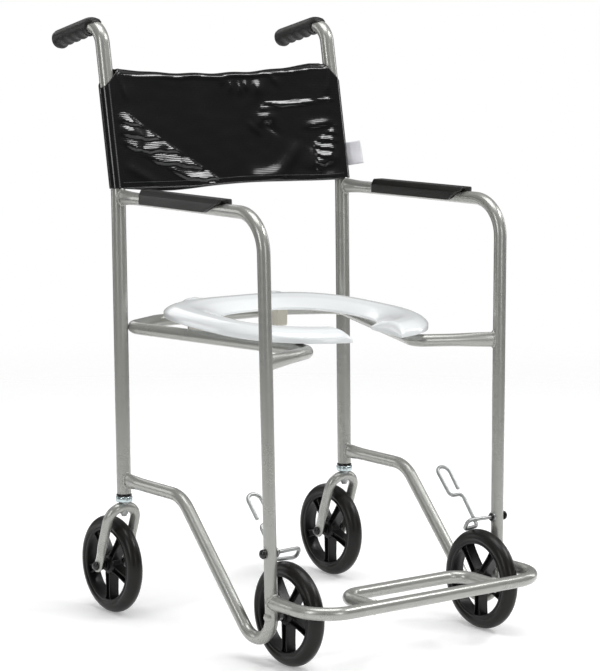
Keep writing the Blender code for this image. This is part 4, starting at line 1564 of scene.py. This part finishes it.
# ---- stage and light ---------------------------------------------------------
def make_floor():
    mesh = bpy.data.meshes.new("studio_floor")
    mesh.from_pydata([(-9, -9, 0), (9, -9, 0), (9, 9, 0), (-9, 9, 0)], [], [(0, 1, 2, 3)])
    floor = bpy.data.objects.new("studio_floor", mesh)
    floor.location.z = -0.0004
    looks.objects.link(floor)
    made = bpy.data.materials.new("pale_floor")
    made.use_nodes = True
    tree = made.node_tree
    shader = tree.nodes["Principled BSDF"]
    settings = {
        "Base Color": (0.90, 0.90, 0.90, 1.0), "Emission Color": (1.0, 1.0, 1.0, 1.0),
        "Emission Strength": 0.22, "Roughness": 0.85, "Specular IOR Level": 0.1,
    }
    for label, value in settings.items():
        shader.inputs[label].default_value = value
    place = tree.nodes.new("ShaderNodeTexCoord").outputs["Object"]
    length = tree.nodes.new("ShaderNodeVectorMath")
    length.operation = "LENGTH"
    tree.links.new(place, length.inputs[0])
    fade = tree.nodes.new("ShaderNodeMapRange")
    fade.interpolation_type = "SMOOTHSTEP"
    for label, value in (("From Min", 1.0), ("From Max", 3.2), ("To Min", 1.0), ("To Max", 0.0)):
        fade.inputs[label].default_value = value
    tree.links.new(length.outputs["Value"], fade.inputs["Value"])
    tree.links.new(fade.outputs["Result"], shader.inputs["Alpha"])
    mesh.materials.append(made)


def make_world():
    world = bpy.data.worlds.new("studio")
    bpy.context.scene.world = world
    world.use_nodes = True
    tree = world.node_tree
    backdrop = tree.nodes["Background"]
    backdrop.inputs["Color"].default_value = (1.0, 1.0, 1.0, 1.0)
    backdrop.inputs["Strength"].default_value = 1.0
    ambient = tree.nodes.new("ShaderNodeBackground")
    place = tree.nodes.new("ShaderNodeTexCoord").outputs["Generated"]
    apart = tree.nodes.new("ShaderNodeSeparateXYZ")
    tree.links.new(place, apart.inputs["Vector"])
    ramp = tree.nodes.new("ShaderNodeValToRGB")
    ramp.color_ramp.elements.new(0.5)
    for stop, grey in zip(ramp.color_ramp.elements, (0.30, 0.13, 0.60)):
        stop.color = (grey, grey, grey, 1.0)
    share = math_node(tree, "MULTIPLY_ADD", apart.outputs["Z"], 0.5, 0.5)
    tree.links.new(share, ramp.inputs["Fac"])
    tree.links.new(ramp.outputs["Color"], ambient.inputs["Color"])
    ambient.inputs["Strength"].default_value = 0.75
    seen = tree.nodes.new("ShaderNodeLightPath").outputs["Is Camera Ray"]
    choice = tree.nodes.new("ShaderNodeMixShader")
    tree.links.new(seen, choice.inputs["Fac"])
    tree.links.new(ambient.outputs["Background"], choice.inputs[1])
    tree.links.new(backdrop.outputs["Background"], choice.inputs[2])
    tree.links.new(choice.outputs["Shader"], tree.nodes["World Output"].inputs["Surface"])


def add_light(name, where, target, size, power):
    lamp = bpy.data.lights.new(name, "AREA")
    lamp.shape = "RECTANGLE"
    lamp.size = size[0]
    lamp.size_y = size[1]
    lamp.energy = power
    thing = bpy.data.objects.new(name, lamp)
    aim = Vector(where) - Vector(target)
    thing.rotation_euler = aim.to_track_quat("Z", "Y").to_euler()
    thing.location = where
    bpy.context.scene.collection.objects.link(thing)


def make_lights():
    add_light("overhead", (-0.1, -0.2, 3.3), (0.0, 0.0, 0.4), (2.2, 1.8), 54.0)
    add_light("softbox_right", (1.80, -1.59, 2.87), (0.0, 0.18, 0.75), (1.60, 0.64), 44.0)
    add_light("key_left", (-3.0, -0.7, 1.5), (0.0, 0.0, 0.5), (0.6, 1.8), 20.0)
    add_light("left_rear", (-1.9, 2.6, 1.0), (0.0, 0.0, 0.6), (0.8, 1.4), 8.0)
    add_light("front_fill", (-0.3, -3.6, 1.2), (0.0, 0.0, 0.5), (0.9, 1.6), 15.0)
    add_light("right_rim", (2.8, -0.2, 1.3), (0.0, 0.0, 0.5), (0.5, 1.8), 12.0)
    add_light("rear_rim", (0.4, 2.8, 1.9), (0.0, 0.0, 0.5), (1.8, 1.2), 9.0)


# ---- the whole chair ---------------------------------------------------------
def build():
    dress_nodes()
    for word, side in SIDES:
        make_rear_post(word, side)
        make_side_frame(word, side)
        make_drain_hole(word, side)
    make_seat_frame()
    make_footrest()
    sling = make_sling()
    trims = make_hem_rolls() + make_hem_stitches()
    tag = make_tag()
    for word, side in SIDES:
        for make in (make_pad, make_grip, make_front_wheel, make_caster, make_brake, make_clip):
            make(word, side)
    make_seat()


def note_sizes():
    bpy.context.view_layer.update()


build()
make_floor()
make_world()
make_lights()
bpy.context.scene.view_settings.view_transform = "Standard"
note_sizes()
